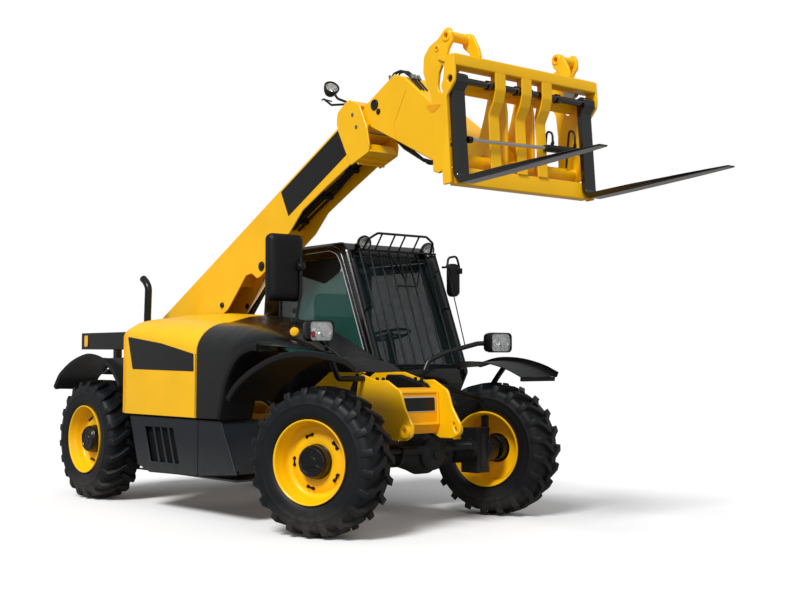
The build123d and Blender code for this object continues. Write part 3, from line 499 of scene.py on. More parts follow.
# the looks of the CAD nodes themselves
NODE_LOOKS = (
    (paint, "headstock boom_outer boom_collar boom_nose hitch fork_frame bonnet lift_barrel boom_inner "
            "rim_front_right rim_front_left rim_rear_right rim_rear_left"),
    (paint_cast, "chassis_frame"),
    (paint_black, "tow_hitch cab_step exhaust_pipe rear_deck roof_guard fork_shaft fork_right fork_left"),
    (gloss_black, "cab_frame cab_door"),
    (plastic, "fuel_tank side_pod front_fenders rear_fenders fender_brackets steering_column dashboard mirrors "
              "headlamps roof_lamps boom_lamp"),
    (grey_panel, "belly_skirt"),
    (cast, "front_axle rear_axle engine_block transmission knuckle_front_right knuckle_front_left "
           "knuckle_rear_right knuckle_rear_left"),
    (glass, "cab_glass door_glass"), (cloth, "seat"), (nylon, "wear_pads"), (hose_black, "boom_hoses"),
    (chrome, "lift_rod positioner"),
    (rubber, "tyre_front_right tyre_front_left tyre_rear_right tyre_rear_left"),
)
for look, names in NODE_LOOKS:
    for name in names.split():
        for place in frame["nodes"][name].material_slots:
            place.material = look


# ---- camera, floor and light
def place_in_scene(name, data, aim=None):
    made = bpy.data.objects.new(name, data)
    bpy.context.scene.collection.objects.link(made)
    if aim:
        made.rotation_euler = Vector(aim).to_track_quat("-Z", "Y").to_euler()
    return made


camera_data = bpy.data.cameras.new("camera")
camera = place_in_scene("camera", camera_data, (-0.7653, 0.6401, 0.0678))
bpy.context.scene.camera = camera
camera.location = at(7.2555, -6.4032, 1.2647)
camera_data.sensor_width, camera_data.lens = 36, 57.179
camera_data.shift_x, camera_data.shift_y = 0.02302, -0.03308
camera_data.clip_end = 200

floor_mesh = bpy.data.meshes.new("floor")
floor_mesh.from_pydata([(-60, -60, 0), (60, -60, 0), (60, 60, 0), (-60, 60, 0)], [], [(0, 1, 2, 3)])
floor_paint = bpy.data.materials.new("floor_white")
node = node_maker(floor_paint)  # white to the camera, and darker as a source of bounced light
seen = node("Principled BSDF", "BSDF", Base_Color=(1, 1, 1, 1), Roughness=0.9, Specular_IOR_Level=0.1)
bounced = node("BsdfDiffuse", "BSDF", Color=(0.30, 0.29, 0.28, 1))
camera_ray = node("LightPath", "Is Camera Ray")
node("Material Output", Surface=node("MixShader", "Shader", Fac=camera_ray, in_1=bounced, in_2=seen))
floor_mesh.materials.append(floor_paint)
place_in_scene("floor", floor_mesh)

bpy.context.scene.view_settings.view_transform = "Standard"
world = bpy.data.worlds.new("studio")
bpy.context.scene.world = world
node = node_maker(world)  # white to the camera and through glass, and a plain soft light otherwise
light_sky = node("Background", "Background", Color=(0.98, 0.99, 1, 1), Strength=0.42)
seen_sky = node("Background", "Background", Color=(1, 1, 1, 1), Strength=1)
path = node("LightPath").outputs
either = node("Math", "Value", {"operation": "MAXIMUM"},
              in_0=path["Is Camera Ray"], in_1=path["Is Transmission Ray"])
node("World Output", Surface=node("MixShader", "Shader", Fac=either, in_1=light_sky, in_2=seen_sky))

SUNS = (("key", (-0.35, 0.75, -0.85), 2.9, 18), ("fill", (-0.9, 0.25, -0.35), 0.30, 40))
for name, aim, strength, angle in SUNS:
    sun = bpy.data.lights.new(name, "SUN")
    sun.energy = strength
    sun.angle = math.radians(angle)
    place_in_scene(name, sun, aim)


# ---- wheels
# a tyre's section without the lugs: (outward from the centre plane, radius)
TYRE_SECTION = mm("""136,290 150,301 163,318 170.5,345 172.5,375 172.5,398 174.5,403 174.5,411 172,416 169,440
    163,462 152,478 130,489 90,495 40,498""")
LUG_LINE = (  # (outward, foot radius, top radius, turn in degrees, half width in degrees)
    (0.1725, 0.425, 0.427, 0.0, 3.3), (0.1690, 0.452, 0.470, 0.0, 3.4), (0.1575, 0.468, 0.502, 0.1, 3.5),
    (0.1500, 0.478, 0.516, 0.2, 3.5), (0.1300, 0.487, 0.523, 0.8, 3.4), (0.0950, 0.492, 0.527, 2.6, 3.2),
    (0.0550, 0.495, 0.529, 5.8, 3.0), (0.0150, 0.497, 0.530, 9.0, 3.0), (-0.010, 0.497, 0.530, 10.4, 2.9),
)
LUGS = 21  # a side
# closed sections of the rim with its disc, and of the hub: (outward from the centre plane, radius)
RIM_SECTION = """168,300 169.5,294 165,287 150,281 128,278 110,268 88,262 62,259 48,252 40,240 38,222 46,208
    54,190 58,165 56,140 50,118 30,118 36,160 30,190 18,222 10,240 -10,250 -60,256 -120,262 -150,276 -166,286
    -169.5,294 -168,300 -150,298 -135,289 135,289 150,298"""
HUB_SECTION = """-29,0 -29,95 30,105 32,124 62,124 66,119 112,117 116,113 128,110 136,102 138,90 131,84 130,40
    136,36 136,0"""


def wheel_frame(name):
    """Matrix of a wheel: local X up, local Z outward along its axle."""
    outward = Vector(joints["spin_" + name]["axis"]) * (-1 if "right" in name else 1)
    up = Vector(UP)
    matrix = Matrix((up, outward.cross(up), outward)).transposed().to_4x4()
    matrix.translation = joint_place("spin_" + name)
    return matrix


def tyre_shapes():
    shape = Piece("tyre")
    section = TYRE_SECTION + [(-w, r) for w, r in reversed(TYRE_SECTION)] + mm("-136,289 136,289")
    shape.ring(section, ORIGIN, UP, 84)
    for row in range(2 * LUGS):
        mirror = 1 if row < LUGS else -1
        base = 360 / LUGS * (row % LUGS + (0.5 if mirror < 0 else 0))
        rows = []
        for w, foot, top, turn, half in LUG_LINE:
            slope, middle = half * 0.78, base + turn
            corners = ((foot - 0.006, -half), (top - 0.004, -slope - 0.25), (top, -slope + 0.2),
                       (top, slope - 0.2), (top - 0.004, slope + 0.25), (foot - 0.006, half))
            angles = [(r, math.radians(middle + degrees)) for r, degrees in corners]
            rows.append([Vector((r * math.cos(a), r * math.sin(a), mirror * w)) for r, a in angles])
        shape.grid(rows, caps=2)
    return shape


def hub_shapes():
    hub = Piece("hub").ring(HUB_SECTION, ORIGIN, UP, 40)
    for k in range(6):
        angle = math.tau * k / 6
        hub.bolt((0.098 * math.cos(angle), 0.098 * math.sin(angle), 0.133), UP, 0.007, 0.006)
    for k in range(3):
        hub.box(*mm("-6,30,128 6,78,134"), 0.002, Matrix.Rotation(math.tau * k / 3 + 0.4, 3, "Z"), (0, 0, 0.13))
    clamp = Piece("clamp")
    for place in mm("190,-22,54 190,22,54"):
        clamp.bolt(place, UP, 0.009, 0.014)
    clamp.box(*mm("179,-36,48 201,36,55"), 0.002)
    for k in range(5):
        hub.copy_turned(clamp, Matrix.Rotation(math.tau * k / 5 + 0.25, 4, "Z"))
    return hub


tyre_model, rim_model, hub_model = tyre_shapes(), Piece("rim").ring(RIM_SECTION, ORIGIN, UP, 72), hub_shapes()
for wheel in WHEELS:
    turn = wheel_frame(wheel) @ Matrix.Rotation(random.uniform(0, 0.3), 4, "Z")
    body = "wheel_" + wheel
    Piece("tyre_detailed_" + wheel, rubber, body, "tyre_" + wheel).copy_turned(tyre_model, turn).done(42)
    Piece("rim_detailed_" + wheel, paint, body, "rim_" + wheel).copy_turned(rim_model, turn).done(30)
    Piece("hub_" + wheel, paint_black, body).copy_turned(hub_model, turn).done(35)

# ---- bonnet and pod
# ahead, y of the side, foot, height where the shoulder starts, crest at the shoulder's end, height by the boom
POD_SHAPE = np.array(mm("""-2560,-1062,785,1400,1500,1530 -2535,-1080,785,1430,1560,1590
    -2480,-1089,785,1440,1590,1625 -2300,-1090,785,1425,1600,1640 -1900,-1090,785,1380,1585,1640
    -1356,-1090,785,1300,1545,1610 -1200,-1090,785,1290,1540,1598 -1030,-1090,790,1290,1535,1580
    -955,-1090,1050,1290,1530,1570 -860,-1089,1190,1300,1520,1560 -747,-1080,1280,1330,1500,1540
    -600,-1040,1310,1335,1470,1505 -450,-960,1290,1310,1420,1460 -300,-880,1250,1270,1370,1400
    -100,-830,1200,1220,1300,1320 80,-800,1160,1180,1240,1250"""))
POD_INNER = -0.402
LID_REAR, LID_FRONT = -2.560, -1.356
SHEET = 0.008


def pod_section(x):
    """14 points across the pod at x: up its side, round the shoulder and in to the boom."""
    columns = POD_SHAPE.T
    y_out, foot, shoulder, crest, inner = (float(np.interp(x, columns[0], column)) for column in columns[1:])
    y_in = -0.78 if y_out < -0.95 else y_out + 0.17
    points = [(y_out, foot), (y_out, foot + (shoulder - foot) * 0.5), (y_out, shoulder)]
    for k in range(1, 9):
        a = math.pi / 2 * k / 9
        points.append((y_out + (y_in - y_out) * (1 - math.cos(a)), shoulder + (crest - shoulder) * math.sin(a)))
    return points + [(y_in, crest), (y_in + (POD_INNER - y_in) * 0.5, crest + (inner - crest) * 0.75),
                     (POD_INNER, inner)]


def pod_rows(x_of, count):
    """Rows of points from the side's foot to the boom; x_of(share of the length, share of the section)."""
    xs = [[x_of(i / (count - 1), j / 13) for j in range(14)] for i in range(count)]
    return [[at(x, *pod_section(x)[j]) for j, x in enumerate(row)] for row in xs]


lid_rows = pod_rows(lambda s, f: LID_REAR + (LID_FRONT - LID_REAR) * s, 40)
Piece("bonnet_skin", paint, "bonnet", "bonnet").shell(lid_rows, SHEET).done(40)
Piece("bonnet_back", paint, "bonnet").plate([(p.y, p.z) for p in lid_rows[1]], across(-2.548), -0.004, 0.004,
                                            0.001).done()
pod = Piece("pod_skin", plastic_gloss, replaces="side_pod")
pod.shell(pod_rows(lambda s, f: (LID_FRONT + 0.012) * (1 - s)
                   + (-0.66 + 0.74 * max(0.0, (f - 0.2) / 0.8) ** 0.6) * s, 60), SHEET)
pod.block("-620,-830,1300 -580,-770,1470", 0.01).tube("-1320,-412,1620 -1390,-412,1620", 0.008).done(50)
arch_line = smooth_line("-1045,790 -1000,930 -955,1064 -860,1204 -747,1294 -600,1335 -520,1335", 40)
Piece("pod_arch_lip", plastic).sweep("0,-30 6,0 0,24 -20,34 -300,34 -300,26 -26,20 -20,-30",
                                     [at(x, -1.088, z) for x, z in arch_line], (0, -1, 0)).done(45)

# a bare panel in the place of lettering
Piece("bonnet_label_panel", plastic_gloss, "bonnet").plate(
    fillet("-2458,1438 -1900,1378 -1393,1290 -1388,1150 -2372,1162", 0.012), car_side(-1.0905), -0.002, 0.006,
    0.002).done()
Piece("bonnet_seams", shade_dark, "bonnet").sweep(
    "-2,-2 2,-2 2,2 -2,2", places("-1362,-1091,790 -1362,-1091,1290")).done()

# ---- skirt under the engine
PANEL = 0.012  # thickness of the usual panel or plate
skirt = Piece("skirt_skin", grey_panel, replaces="belly_skirt")
skirt.plate(fillet("-2450,770 -2300,362 -2130,315 -1362,330 -1362,770", 0.012), car_side(-1.068), 0, PANEL,
            holes=[fillet("-2195,685 -1735,688 -1632,405 -2094,400", 0.012)])
skirt.plate("-1356,770 -1356,330 -812,372 -1035,770", car_side(-1.064), 0, PANEL)
for x in (-2.070, -1.952, -1.834):
    louvre = [(x, 0.690), (x + 0.020, 0.690), (x + 0.122, 0.400), (x + 0.102, 0.400)]
    skirt.plate(louvre, car_side(-1.066), 0, 0.016)
skirt.block("-2300,-1060,318 -820,-470,330")
skirt.plate("-1068,770 -1068,360 -470,360 -470,770", lambda y, z, d: at(-2.450 + (0.770 - z) * 0.36 + d, y, z),
            0, 0.008, 0.002)
skirt.plate("-1064,770 -1064,375 -470,375 -470,770", lambda y, z, d: at(-1.035 + (0.770 - z) * 0.55 - d, y, z),
            0, 0.008, 0.002)
skirt.done()
Piece("skirt_lip", plastic).plate("""-2285,352 -2130,309 -1334,325 -812,367 -830,330 -1334,290 -2130,272
    -2250,320""", lambda u, v, d: at(u, -1.055 + d, v + 0.035), 0, 0.02).done()
# a dark sheet behind the louvres: painted shade of the space behind the skirt's opening
Piece("louvre_painted_shade", shade_dark).plate("-2250,720 -1660,720 -1580,370 -2150,370", car_side(-1.030), 0, 0.004,
                                       0.001).done()

# ---- fenders
FENDER_DROP = 0.045


def fender(name, points, y_out, y_in, replaces=""):
    """A pressed fender: a crowned band with a rolled outer edge, carried along its crown."""
    width = abs(y_out - y_in)
    section = [(0.0, -FENDER_DROP)] + mm("0,-14 -4,-4 -16,0 -40,-2 -50,-6")
    section += [(-width * 0.5, 0.002), (-width, -0.004), (-width, -0.010), (-width * 0.5, -0.004)]
    section += mm("-52,-12 -40,-9 -18,-8 -8,-14") + [(-0.006, -FENDER_DROP)]
    path = [at(x, y_out, z) for x, z in smooth_line(points, 56)]
    if y_out > 0:
        path.reverse()
    Piece(name, plastic, replaces=replaces).sweep(section, path, (0, math.copysign(1, y_out), 0)).done(45)


REAR_FENDER = "-3815,962 -3750,1035 -3684,1088 -3487,1180 -3267,1238 -3104,1250 -2900,1215 -2740,1140 -2600,1002"
fender("fender_front_right", """-860,925 -760,1020 -580,1120 -328,1212 -119,1251 117,1261 359,1242 561,1205
    655,1160""", -1.108, -0.690)
fender("fender_front_left", "-370,1178 -163,1219 76,1212 300,1167 470,1104", 1.108, 0.690, "front_fenders")
fender("fender_rear_right", REAR_FENDER, -1.108, -0.705)
fender("fender_rear_left", REAR_FENDER, 1.108, 0.705, "rear_fenders")


# ---- lamps
def headlamp(name, c, half_w=0.118, half_h=0.078):
    """A block lamp that faces forward: housing, reflector bowls and ribs, and a clear lens."""
    rows = []
    for depth, k in ((-0.105, 0.45), (-0.100, 0.70), (-0.075, 0.90), (-0.035, 1.0), (0.012, 1.0), (0.020, 0.97),
                     (0.020, 0.90), (0.004, 0.88)):
        rows.append([c + Vector((depth, p.x * k, p.y * k)) for p in centred(half_w, half_h, 0.035)])
    Piece(name, plastic_gloss).grid(rows, close_columns=True, caps=1).done(50)
    inside = Piece(name + "_reflector", reflector)
    inside.plate([p * 0.885 for p in centred(half_w, half_h, 0.033)], lambda u, v, d: c + Vector((d, u, v)),
                 -0.004, 0.004, 0.001)
    for offset, r in ((0.045, 0.052), (-0.055, 0.044)):
        bowl = [(0.003, r), (0.016, r), (0.017, r - 0.004), (0.006, r - 0.006), (0.004, r * 0.5)]
        inside.lathe(bowl + mm("10,12 14,0"), c + Vector((0, offset, 0.004)), FORWARD, 28)
    for k in range(5):
        y = -0.098 + 0.047 * k
        inside.box(c + Vector((0.002, y, -0.066)), c + Vector((0.009, y + 0.004, 0.066)), 0.001)
    inside.done()
    face = [[c + Vector((0.024 - 0.010 * (u * u + v * v), u * half_w * 0.88, v * half_h * 0.86))
             for v in np.linspace(-1, 1, 7)] for u in np.linspace(-1, 1, 9)]
    Piece(name + "_lens", lens).shell(face, 0.002).done()


def small_light(name, c, half_y, half_z, facing=1):
    outline = centred(half_y, half_z, min(half_y, half_z) * 0.6)
    Piece(name, red).plate(outline, lambda u, v, d: c + Vector((d * facing, u, v)), 0, 0.012, 0.004).done()


headlamp("headlamp_right", at(-0.125, -0.790, 1.455))
small_light("headlamp_right_marker", at(-0.100, -0.878, 1.428), 0.014, 0.022)
headlamp("headlamp_left", at(0.230, 0.712, 1.378))
arms = Piece("headlamp_arms", paint_black, replaces="headlamps")
arms.tube("150,665,1375 90,600,1370 -20,360,1300 -80,230,1235 -80,190,1160", 0.019, 12, 0.08)
arms.tube("-205,-660,1250 -205,-660,1400 -205,-720,1440", 0.016, 10, 0.03)
arms.tube("-350,-800,1455 -260,-800,1440 -150,-760,1370 20,-700,1255", 0.009, 8, 0.03).done()
Piece("side_marker", amber).lathe("0,0 0,36 12,36 22,28 26,0", at(-0.415, -0.812, 1.452), (0.55, -0.8, 0),
                                  24).done()
roof_lights = Piece("roof_lamp_housings", plastic_gloss, replaces="roof_lamps")
roof_glass, roof_lens = Piece("roof_lamp_reflectors", reflector), Piece("roof_lamp_lenses", lens)
for c in places("-815,181,2206 -815,889,2186"):
    aim = Vector((1, -0.12, -0.10))
    roof_lights.lathe("-55,0 -55,26 -38,46 -12,60 12,65 18,63 18,55 6,52", c, aim, 32)
    roof_lights.box(c + Vector((-0.10, -0.016, -0.020)), c + Vector((-0.03, 0.016, 0.004)))
    roof_glass.lathe("-30,0 -24,20 0,44 12,53", c, aim, 32)
    roof_lens.lathe("21,0 18,30 12,55", c, aim, 32)
for piece in (roof_lights, roof_glass, roof_lens):
    piece.done()


# ---- mirrors
def mirror_case(name, centre, half_y, half_z, profile, replaces=""):
    """A rounded case, its rings given as (ahead, size)."""
    rows = []
    for depth, k in profile:
        outline = centred(half_y, half_z, 0.045, 6)
        rows.append([centre + Vector((depth, p.x * k, p.y * (1 - (1 - k) * 0.6))) for p in outline])
    return Piece(name, plastic, replaces=replaces).grid(rows, close_columns=True, caps=2)


mirror_case("mirror_right", at(-0.600, -0.775, 1.948), 0.158, 0.258, (
    (-0.045, 0.90), (-0.040, 0.97), (-0.018, 1.0), (0.005, 1.0), (0.026, 0.95), (0.040, 0.84), (0.047, 0.60),
    (0.050, 0.30))).done(50)
arm = Piece("mirror_right_arm", paint_black)
arm.tube("-600,-700,1400 -560,-690,1560 -545,-665,1750 -545,-665,2020", 0.012, 10, 0.05)
arm.block("-575,-700,1930 -530,-630,1990", 0.006)
arm.lathe("0,0 0,28 30,28 36,20 36,0", at(-0.545, -0.665, 1.955), FORWARD, 20)
for z, r in ((1.40, 0.030), (1.47, 0.024), (1.53, 0.030), (1.60, 0.022)):
    arm.lathe([(0, 0), (0, r), (0.035, r), (0.035, 0)], at(-0.575, -0.695, z), (0, 0.05, 1), 18)
arm.done()
mirror = mirror_case("mirror_left", at(-0.848, 1.228, 1.940), 0.060, 0.146, (
    (-0.030, 0.92), (-0.022, 1.0), (0.004, 1.0), (0.022, 0.92), (0.032, 0.70), (0.036, 0.40)), "mirrors")
mirror.tube("""-765,1020,2040 -790,1100,2045 -800,1120,2130 -810,1230,2150 -820,1268,2070 -815,1272,2000""",
            0.010, 10, 0.05)
mirror.tube("-790,1100,2045 -560,1090,1360", 0.005, 8).block("-830,1258,1995 -790,1284,2045").done(50)

# ---- exhaust and rear lamp bar
exhaust = Piece("exhaust_stack", paint_black, replaces="exhaust_pipe")
exhaust.tube("-2960,-620,1155 -2960,-620,1640 -2948,-620,1900 -3000,-620,1955 -3050,-620,1985", 0.033, 20, 0.09)
exhaust.ring("0,33 0,46 50,46 50,33", at(-2.960, -0.620, 1.50), UP, 24).done()
Piece("rear_side_lamp", amber).plate(
    centred(0.030, 0.052, 0.01), lambda u, v, d: at(-3.535 + u, -0.934 - d, 1.411 + v), -0.002, 0.008).done()
for index, y in enumerate((-0.82, 0.82)):
    small_light("tail_lamp_%d" % index, at(-3.643, y, 1.411), 0.085, 0.055, facing=-1)


# ---- boom
NEAR, FAR = -0.137, 0.137  # outer faces of the boom's side plates, off its middle plane
CHEEK = fillet("""-130,81,20 -130,-177 -70,-237 400,-237 760,-403,120 1334,-403,30 1500,-352,50 1715,-284,60
    1800,-312,50 1846,-393,40 1900,-404,30 2040,-400,30 2110,-310,50 2425,-300,80 2660,-237,80 3000,-246
    3599,-275 3599,81,10""")
LIFT_LUG, LEVEL_LUG = (1.958, -0.338), (1.282, -0.327)
outer = Piece("boom_outer_box", paint, "boom", "boom_outer")
lug_holes = [circle(*LIFT_LUG, 0.0375, 24), circle(*LEVEL_LUG, 0.0235, 20)]
for low in (NEAR, FAR - PANEL):
    outer.plate(CHEEK, boom_side(low), 0, PANEL, holes=lug_holes)
outer.plate(rect("0,-134 3600,134", 0.004), boom_flat(-0.11, 0.070), 0, 0.0125, 0.004)
outer.plate(rect("0,-126 3700,126", 0.004), boom_flat(-0.10, -0.150), 0, PANEL)
for u in (0.15, 1.05, 1.62):
    corner = on_boom(u, -0.14, FAR - 0.013)
    outer.box(corner, corner + Vector((0.012, 0.001, 0.012)), 0.001)
outer.plate(rect("-100,-126 100,126", 0.01), lambda v, y, d: on_boom(-0.12 + d, -0.04 + v, y), 0, 0.010)
for u in (0.55, 1.45, 2.30):
    outer.plate(rect("-126,-235 126,-140", 0.004), lambda y, v, d: on_boom(u + d, v, y), 0, PANEL)
outer.done()
pins = Piece("boom_pins", paint_black, "boom")
for (u, v), r in ((LIFT_LUG, 0.038), (LEVEL_LUG, 0.024)):
    for side in (-1, 1):
        head = [(-0.030, r * 0.2), (-0.030, r), (0.0, r), (0.004, r * 0.85), (0.004, 0.0)]
        pins.lathe(head, on_boom(u, v, side * 0.147), (0, side, 0), 28)
        pins.bolt(on_boom(u, v, side * 0.151), (0, side, 0), r * 0.28, 0.006)
for side in (-1, 1):
    pins.lathe("-160,0 -160,40 0,40 3,36 3,0", on_boom(0, 0, side * 0.167), (0, side, 0), 32)
pins.done()
label = Piece("boom_label_panel", plastic_gloss, "boom")  # bare, in the place of lettering
for low in (NEAR - 0.002, FAR):
    label.plate(fillet("2483,62 2478,-174 3349,-170 3349,62", 0.006), boom_side(low), 0, 0.002, 0.0008)
label.done()

collar = Piece("boom_collar_plates", paint, "boom", "boom_collar")
COLLAR = fillet("""3359,-283 3588,-318,20 3629,-264,60 3665,-135,100 3672,70,40 3592,180,30 3541,190,30
    3420,180,50 3367,100,30""")
for low in (NEAR - 0.014, FAR):
    collar.plate(COLLAR, boom_side(low), 0, 0.014, 0.004)
for bar, radius in (("3385,75 3655,75 3655,90 3588,178 3425,178 3385,110", 0.015),
                    ("3375,-238 3600,-238 3600,-290 3560,-305 3400,-285", 0.008)):
    collar.plate(fillet(bar, radius), boom_side(NEAR), 0, 2 * FAR)
for k in range(4):
    u = 3.42 + 0.055 * k
    rib = [(u, -0.285), (u + 0.014, -0.285), (u + 0.014, -0.314), (u, -0.312)]
    collar.plate(fillet(rib, 0.003), boom_side(NEAR), 0.002, 0.272)
for v in (0.0, -0.09):
    rib = [(3.600, v - 0.030), (3.640, v - 0.026), (3.640, v + 0.026), (3.600, v + 0.030)]
    collar.plate(fillet(rib, 0.006), boom_side(NEAR), 0.001, 0.273)
collar.done()
collar_bolts = Piece("collar_bolts", steel, "boom")
for u, v in mm("3568,51 3561,-60"):
    for side in (-1, 1):
        collar_bolts.bolt(on_boom(u, v, side * 0.151), (0, side, 0), 0.011, 0.006)
collar_bolts.done()
pads = Piece("boom_pads", nylon, "boom", "wear_pads")
for v_low, v_high in mm("44.3,56 -124.5,-112.5"):
    pads.plate(rect("3440,-90 3600,90", 0.006), boom_flat(0, v_low), 0, v_high - v_low, 0.002)
pads.done()

hoses = Piece("boom_pipes", hose_black, "boom", "boom_hoses")
for index, offset in enumerate((-0.085, -0.050, -0.015, 0.030, 0.065)):
    v = -0.178 if index % 2 else -0.190

    def sway(u):
        return offset + 0.007 * math.sin(u * 5 + index * 2)

    hoses.tube([on_boom(u, v + 0.006 * math.sin(u * 9 + index), sway(u)) for u in np.linspace(2.20, 3.46, 26)],
               0.0125, 10)
    for u in (2.205, 3.450):
        hoses.ring("0,0 0,18 30,18 30,0", on_boom(u - 0.015, v, sway(u)), ALONG, 6)
hoses.done()
clamps = Piece("pipe_clamps", paint_black, "boom")
for u in (2.42, 2.80, 3.18):
    clamps.plate(rect([(u, -0.150), (u + 0.035, -0.210)], 0.006), boom_side(-0.105), 0, 0.19, 0.004)
clamps.done()

# ---- gooseneck
TU, TV = (TILT - PIVOT).dot(ALONG), (TILT - PIVOT).dot(ACROSS)
NOSE = mm("3670,55 3900,57 4075,58,50 4160,-30,60 4290,-330,100") + [
    (TU - 0.02, TV + 0.235, 0.10), (TU + 0.094, TV + 0.040, 0.07), (TU + 0.060, TV - 0.080, 0.04),
    (TU - 0.055, TV - 0.088, 0.04)] + mm("4129,-775,100 3862,-402,60 3670,-139")
nose = Piece("nose_box", paint, "telescope", "boom_nose boom_inner")
nose.plate(fillet(NOSE, 0.02, 6), boom_side(-0.112), 0, 0.224, 0.006)
nose.plate(rect("460,-112.5 3700,44", 0.004), boom_side(-0.1115), 0, 0.223, 0.006).done()
nose_boss = Piece("nose_boss", paint_black, "telescope")
crease = Piece("nose_creases", paint_cast, "telescope")
for side in (-1, 1):
    y, out = side * 0.112, (0, side, 0)
    nose_boss.lathe("-10,0 4,0 4,28 8,30 8,40 0,43 -10,43", on_boom(3.787, -0.011, y), out, 32)
    nose_boss.lathe("-10,0 10,0 12,12 6,22 -10,24", on_boom(3.800, -0.084, y), out, 24)
    for line in ("4140,-130 3960,-240 3905,-276 3870,-385", "3675,50 3675,-135"):
        crease.tube([on_boom(u, v, side * 0.1125) for u, v in mm(line)], 0.0022, 6)
nose_boss.done()
crease.done()

lamp_at, lamp_aim = on_boom(3.385, 0.450, -0.090), Vector((0.80, -0.28, 0.53))
lamp = Piece("boom_lamp_housing", plastic, "boom", "boom_lamp")
lamp.lathe("-60,0 -60,24 -48,40 -20,54 10,62 26,64 30,60 30,54 16,52", lamp_at, lamp_aim, 36)
for line, radius, bend in (("3300,400,-140 3270,440,-95 3300,400,-40", 0.006, 0.02),
                           ("3275,435,-90 3330,335,-90 3500,215,-90", 0.009, 0.05),
                           ("3505,180,-90 3500,235,-90 3420,330,-90 3395,425,-90", 0.010, 0.05)):
    lamp.tube([on_boom(*point) for point in mm(line)], radius, 8, bend)
lamp.box(on_boom(3.50, 0.205, -0.110), on_boom(3.50, 0.205, -0.070) + Vector((0.06, 0, 0.02))).done()
Piece("boom_lamp_reflector", reflector, "boom").lathe("-30,0 -24,18 -2,40 18,53", lamp_at, lamp_aim, 36).done()
Piece("boom_lamp_lens", lens, "boom").lathe("30,0 27,26 18,54", lamp_at, lamp_aim, 36).done()

# ---- hitch
HITCH_HALF = 0.610  # from the boom's middle plane to the middle of an outer plate
HITCH = fillet("""18,-117,6 65,-139,6 224,-109,10 262,-79,20 266,100 262,292,20 262,440,30 240,476,20 215,440,30
    185,392,40 150,376,40 112,400,40 106,445,40 122,520,50 160,580,50 205,625,40 225,665,40 262,700,40 262,764,50
    240,808,50 195,800,50 128,750,50 110,745,20 42,722,40 -18,665,60 -30,559,60 0,466,50 34,407,50
    44,250,100""", 0.02, 5)
INNER_HITCH = fillet("""-60,-60,50 60,-110,40 225,-86,30 251,292,40 230,500,50 120,520,50 40,300,100
    -70,60,80""", 0.02, 5)
EYE, SMALL_EYE = (0.213, 0.752), (0.118, 0.690)
EYE_HOLE = circle(*EYE, 0.019, 24)
hitch = Piece("hitch_plates", paint, "carriage", "hitch")
for y in (-HITCH_HALF, HITCH_HALF):
    hitch.plate(HITCH, carriage_side(y - 0.012), 0, 0.024, 0.004, [EYE_HOLE, circle(*SMALL_EYE, 0.012, 20)])
for y in (-0.142, 0.118):
    hitch.plate(INNER_HITCH, carriage_side(y), 0, 0.024, 0.004)
for a, b in mm("175,430 150,-60"):
    hitch.lathe([(-HITCH_HALF, 0.0), (-HITCH_HALF, 0.046), (HITCH_HALF, 0.046), (HITCH_HALF, 0.0)],
                on_carriage(a, b), LEFT, 36)
# a thin darker yellow patch on the near hitch plate: painted shadow of a boss
painted_shade_patch = Piece("hitch_painted_shade", paint_cast, "carriage")
painted_shade_patch.plate(fillet("-20,335 130,314 120,300 60,272 30,275", 0.008), carriage_side(-HITCH_HALF - 0.014), 0,
             0.002, 0.001)
caps, hitch_bolts = Piece("hitch_locks", silver, "carriage"), Piece("hitch_bolts", cast, "carriage")
for side in (-1, 1):
    y, out = side * (HITCH_HALF + 0.012), (0, side, 0)
    hitch.ring("-4,19.5 6,19.5 6,36 0,42 -4,42", on_carriage(*EYE, y), out, 32)
    hitch.ring("-4,12 5,12 5,22 -4,24", on_carriage(*SMALL_EYE, y), out, 24)
    caps.lathe("-45,0 -45,58 -5,58 -2,55 -2,0", on_carriage(0.214, 0.545, y - side * 0.014), out, 40)
    for a, b in mm("189,60 198,24"):
        hitch_bolts.bolt(on_carriage(a, b, y), out, 0.010, 0.007)
hitch.done()
Piece("tilt_pin", steel, "carriage").lathe(
    "-172,0 -172,33 -168,35 168,35 172,33 172,0", on_carriage(0, 0), LEFT, 32).done()
for piece in (painted_shade_patch, caps, hitch_bolts):
    piece.done()

# ---- fork frame
RACK_HALF = 0.700  # half the fork frame's width
SHAFT = (0.305, 0.430)
SHAFT_HOLE = circle(*SHAFT, 0.0245, 24)
SWAN = fillet("""272,550,20 351,520,10 345,400,60 322,325,50 264,245,60 262,-140 232,-140 232,300,60
    268,400,60""", 0.02, 5)
SWAN_LINE = fillet("351,510,0 345,400,80 318,322,50 268,245,60 266,-130,0", 0.02, 6)
EAR = fillet("""248,592 335,592 320,670,30 268,775,50 213,800,50 165,765,50 180,700,40 235,650,30""", 0.02, 5)
END = fillet("""262,-245 262,320,50 345,405,40 352,450 352,590 272,590 232,400,50 232,100,50 190,-100,50
    190,-245""", 0.01)
rack = Piece("fork_rack", paint, "carriage", "fork_frame")
for outline, radius, gap, edge in (("250,512 352,512 352,592 172.4,592", 0.008, 0.019, 0.003),
                                   ("250,594 172.4,594 345,510", 0.006, 0.004, 0.002),
                                   ("190,-245 262,-245 262,-130 190,-130", 0.006, 0.06, 0.005)):
    rack.plate(fillet(outline, radius), carriage_side(gap - RACK_HALF), 0, 2 * (RACK_HALF - gap), edge)
for y in (-0.280, -0.030, 0.170):
    rack.plate(SWAN, carriage_side(y - 0.015), 0, 0.030, 0.005, [SHAFT_HOLE])
    rack.sweep("-45,-6 45,-6 45,6 -45,6", [on_carriage(*p, y) for p in SWAN_LINE], LEFT)
for y in (-0.430, 0.450):
    rack.plate(EAR, carriage_side(y - 0.012), 0, 0.024, 0.004, [EYE_HOLE])
    for side in (-1, 1):
        rack.ring("-4,19.5 6,19.5 6,34 0,40 -4,40", on_carriage(*EYE, y + side * 0.012), (0, side, 0), 28)
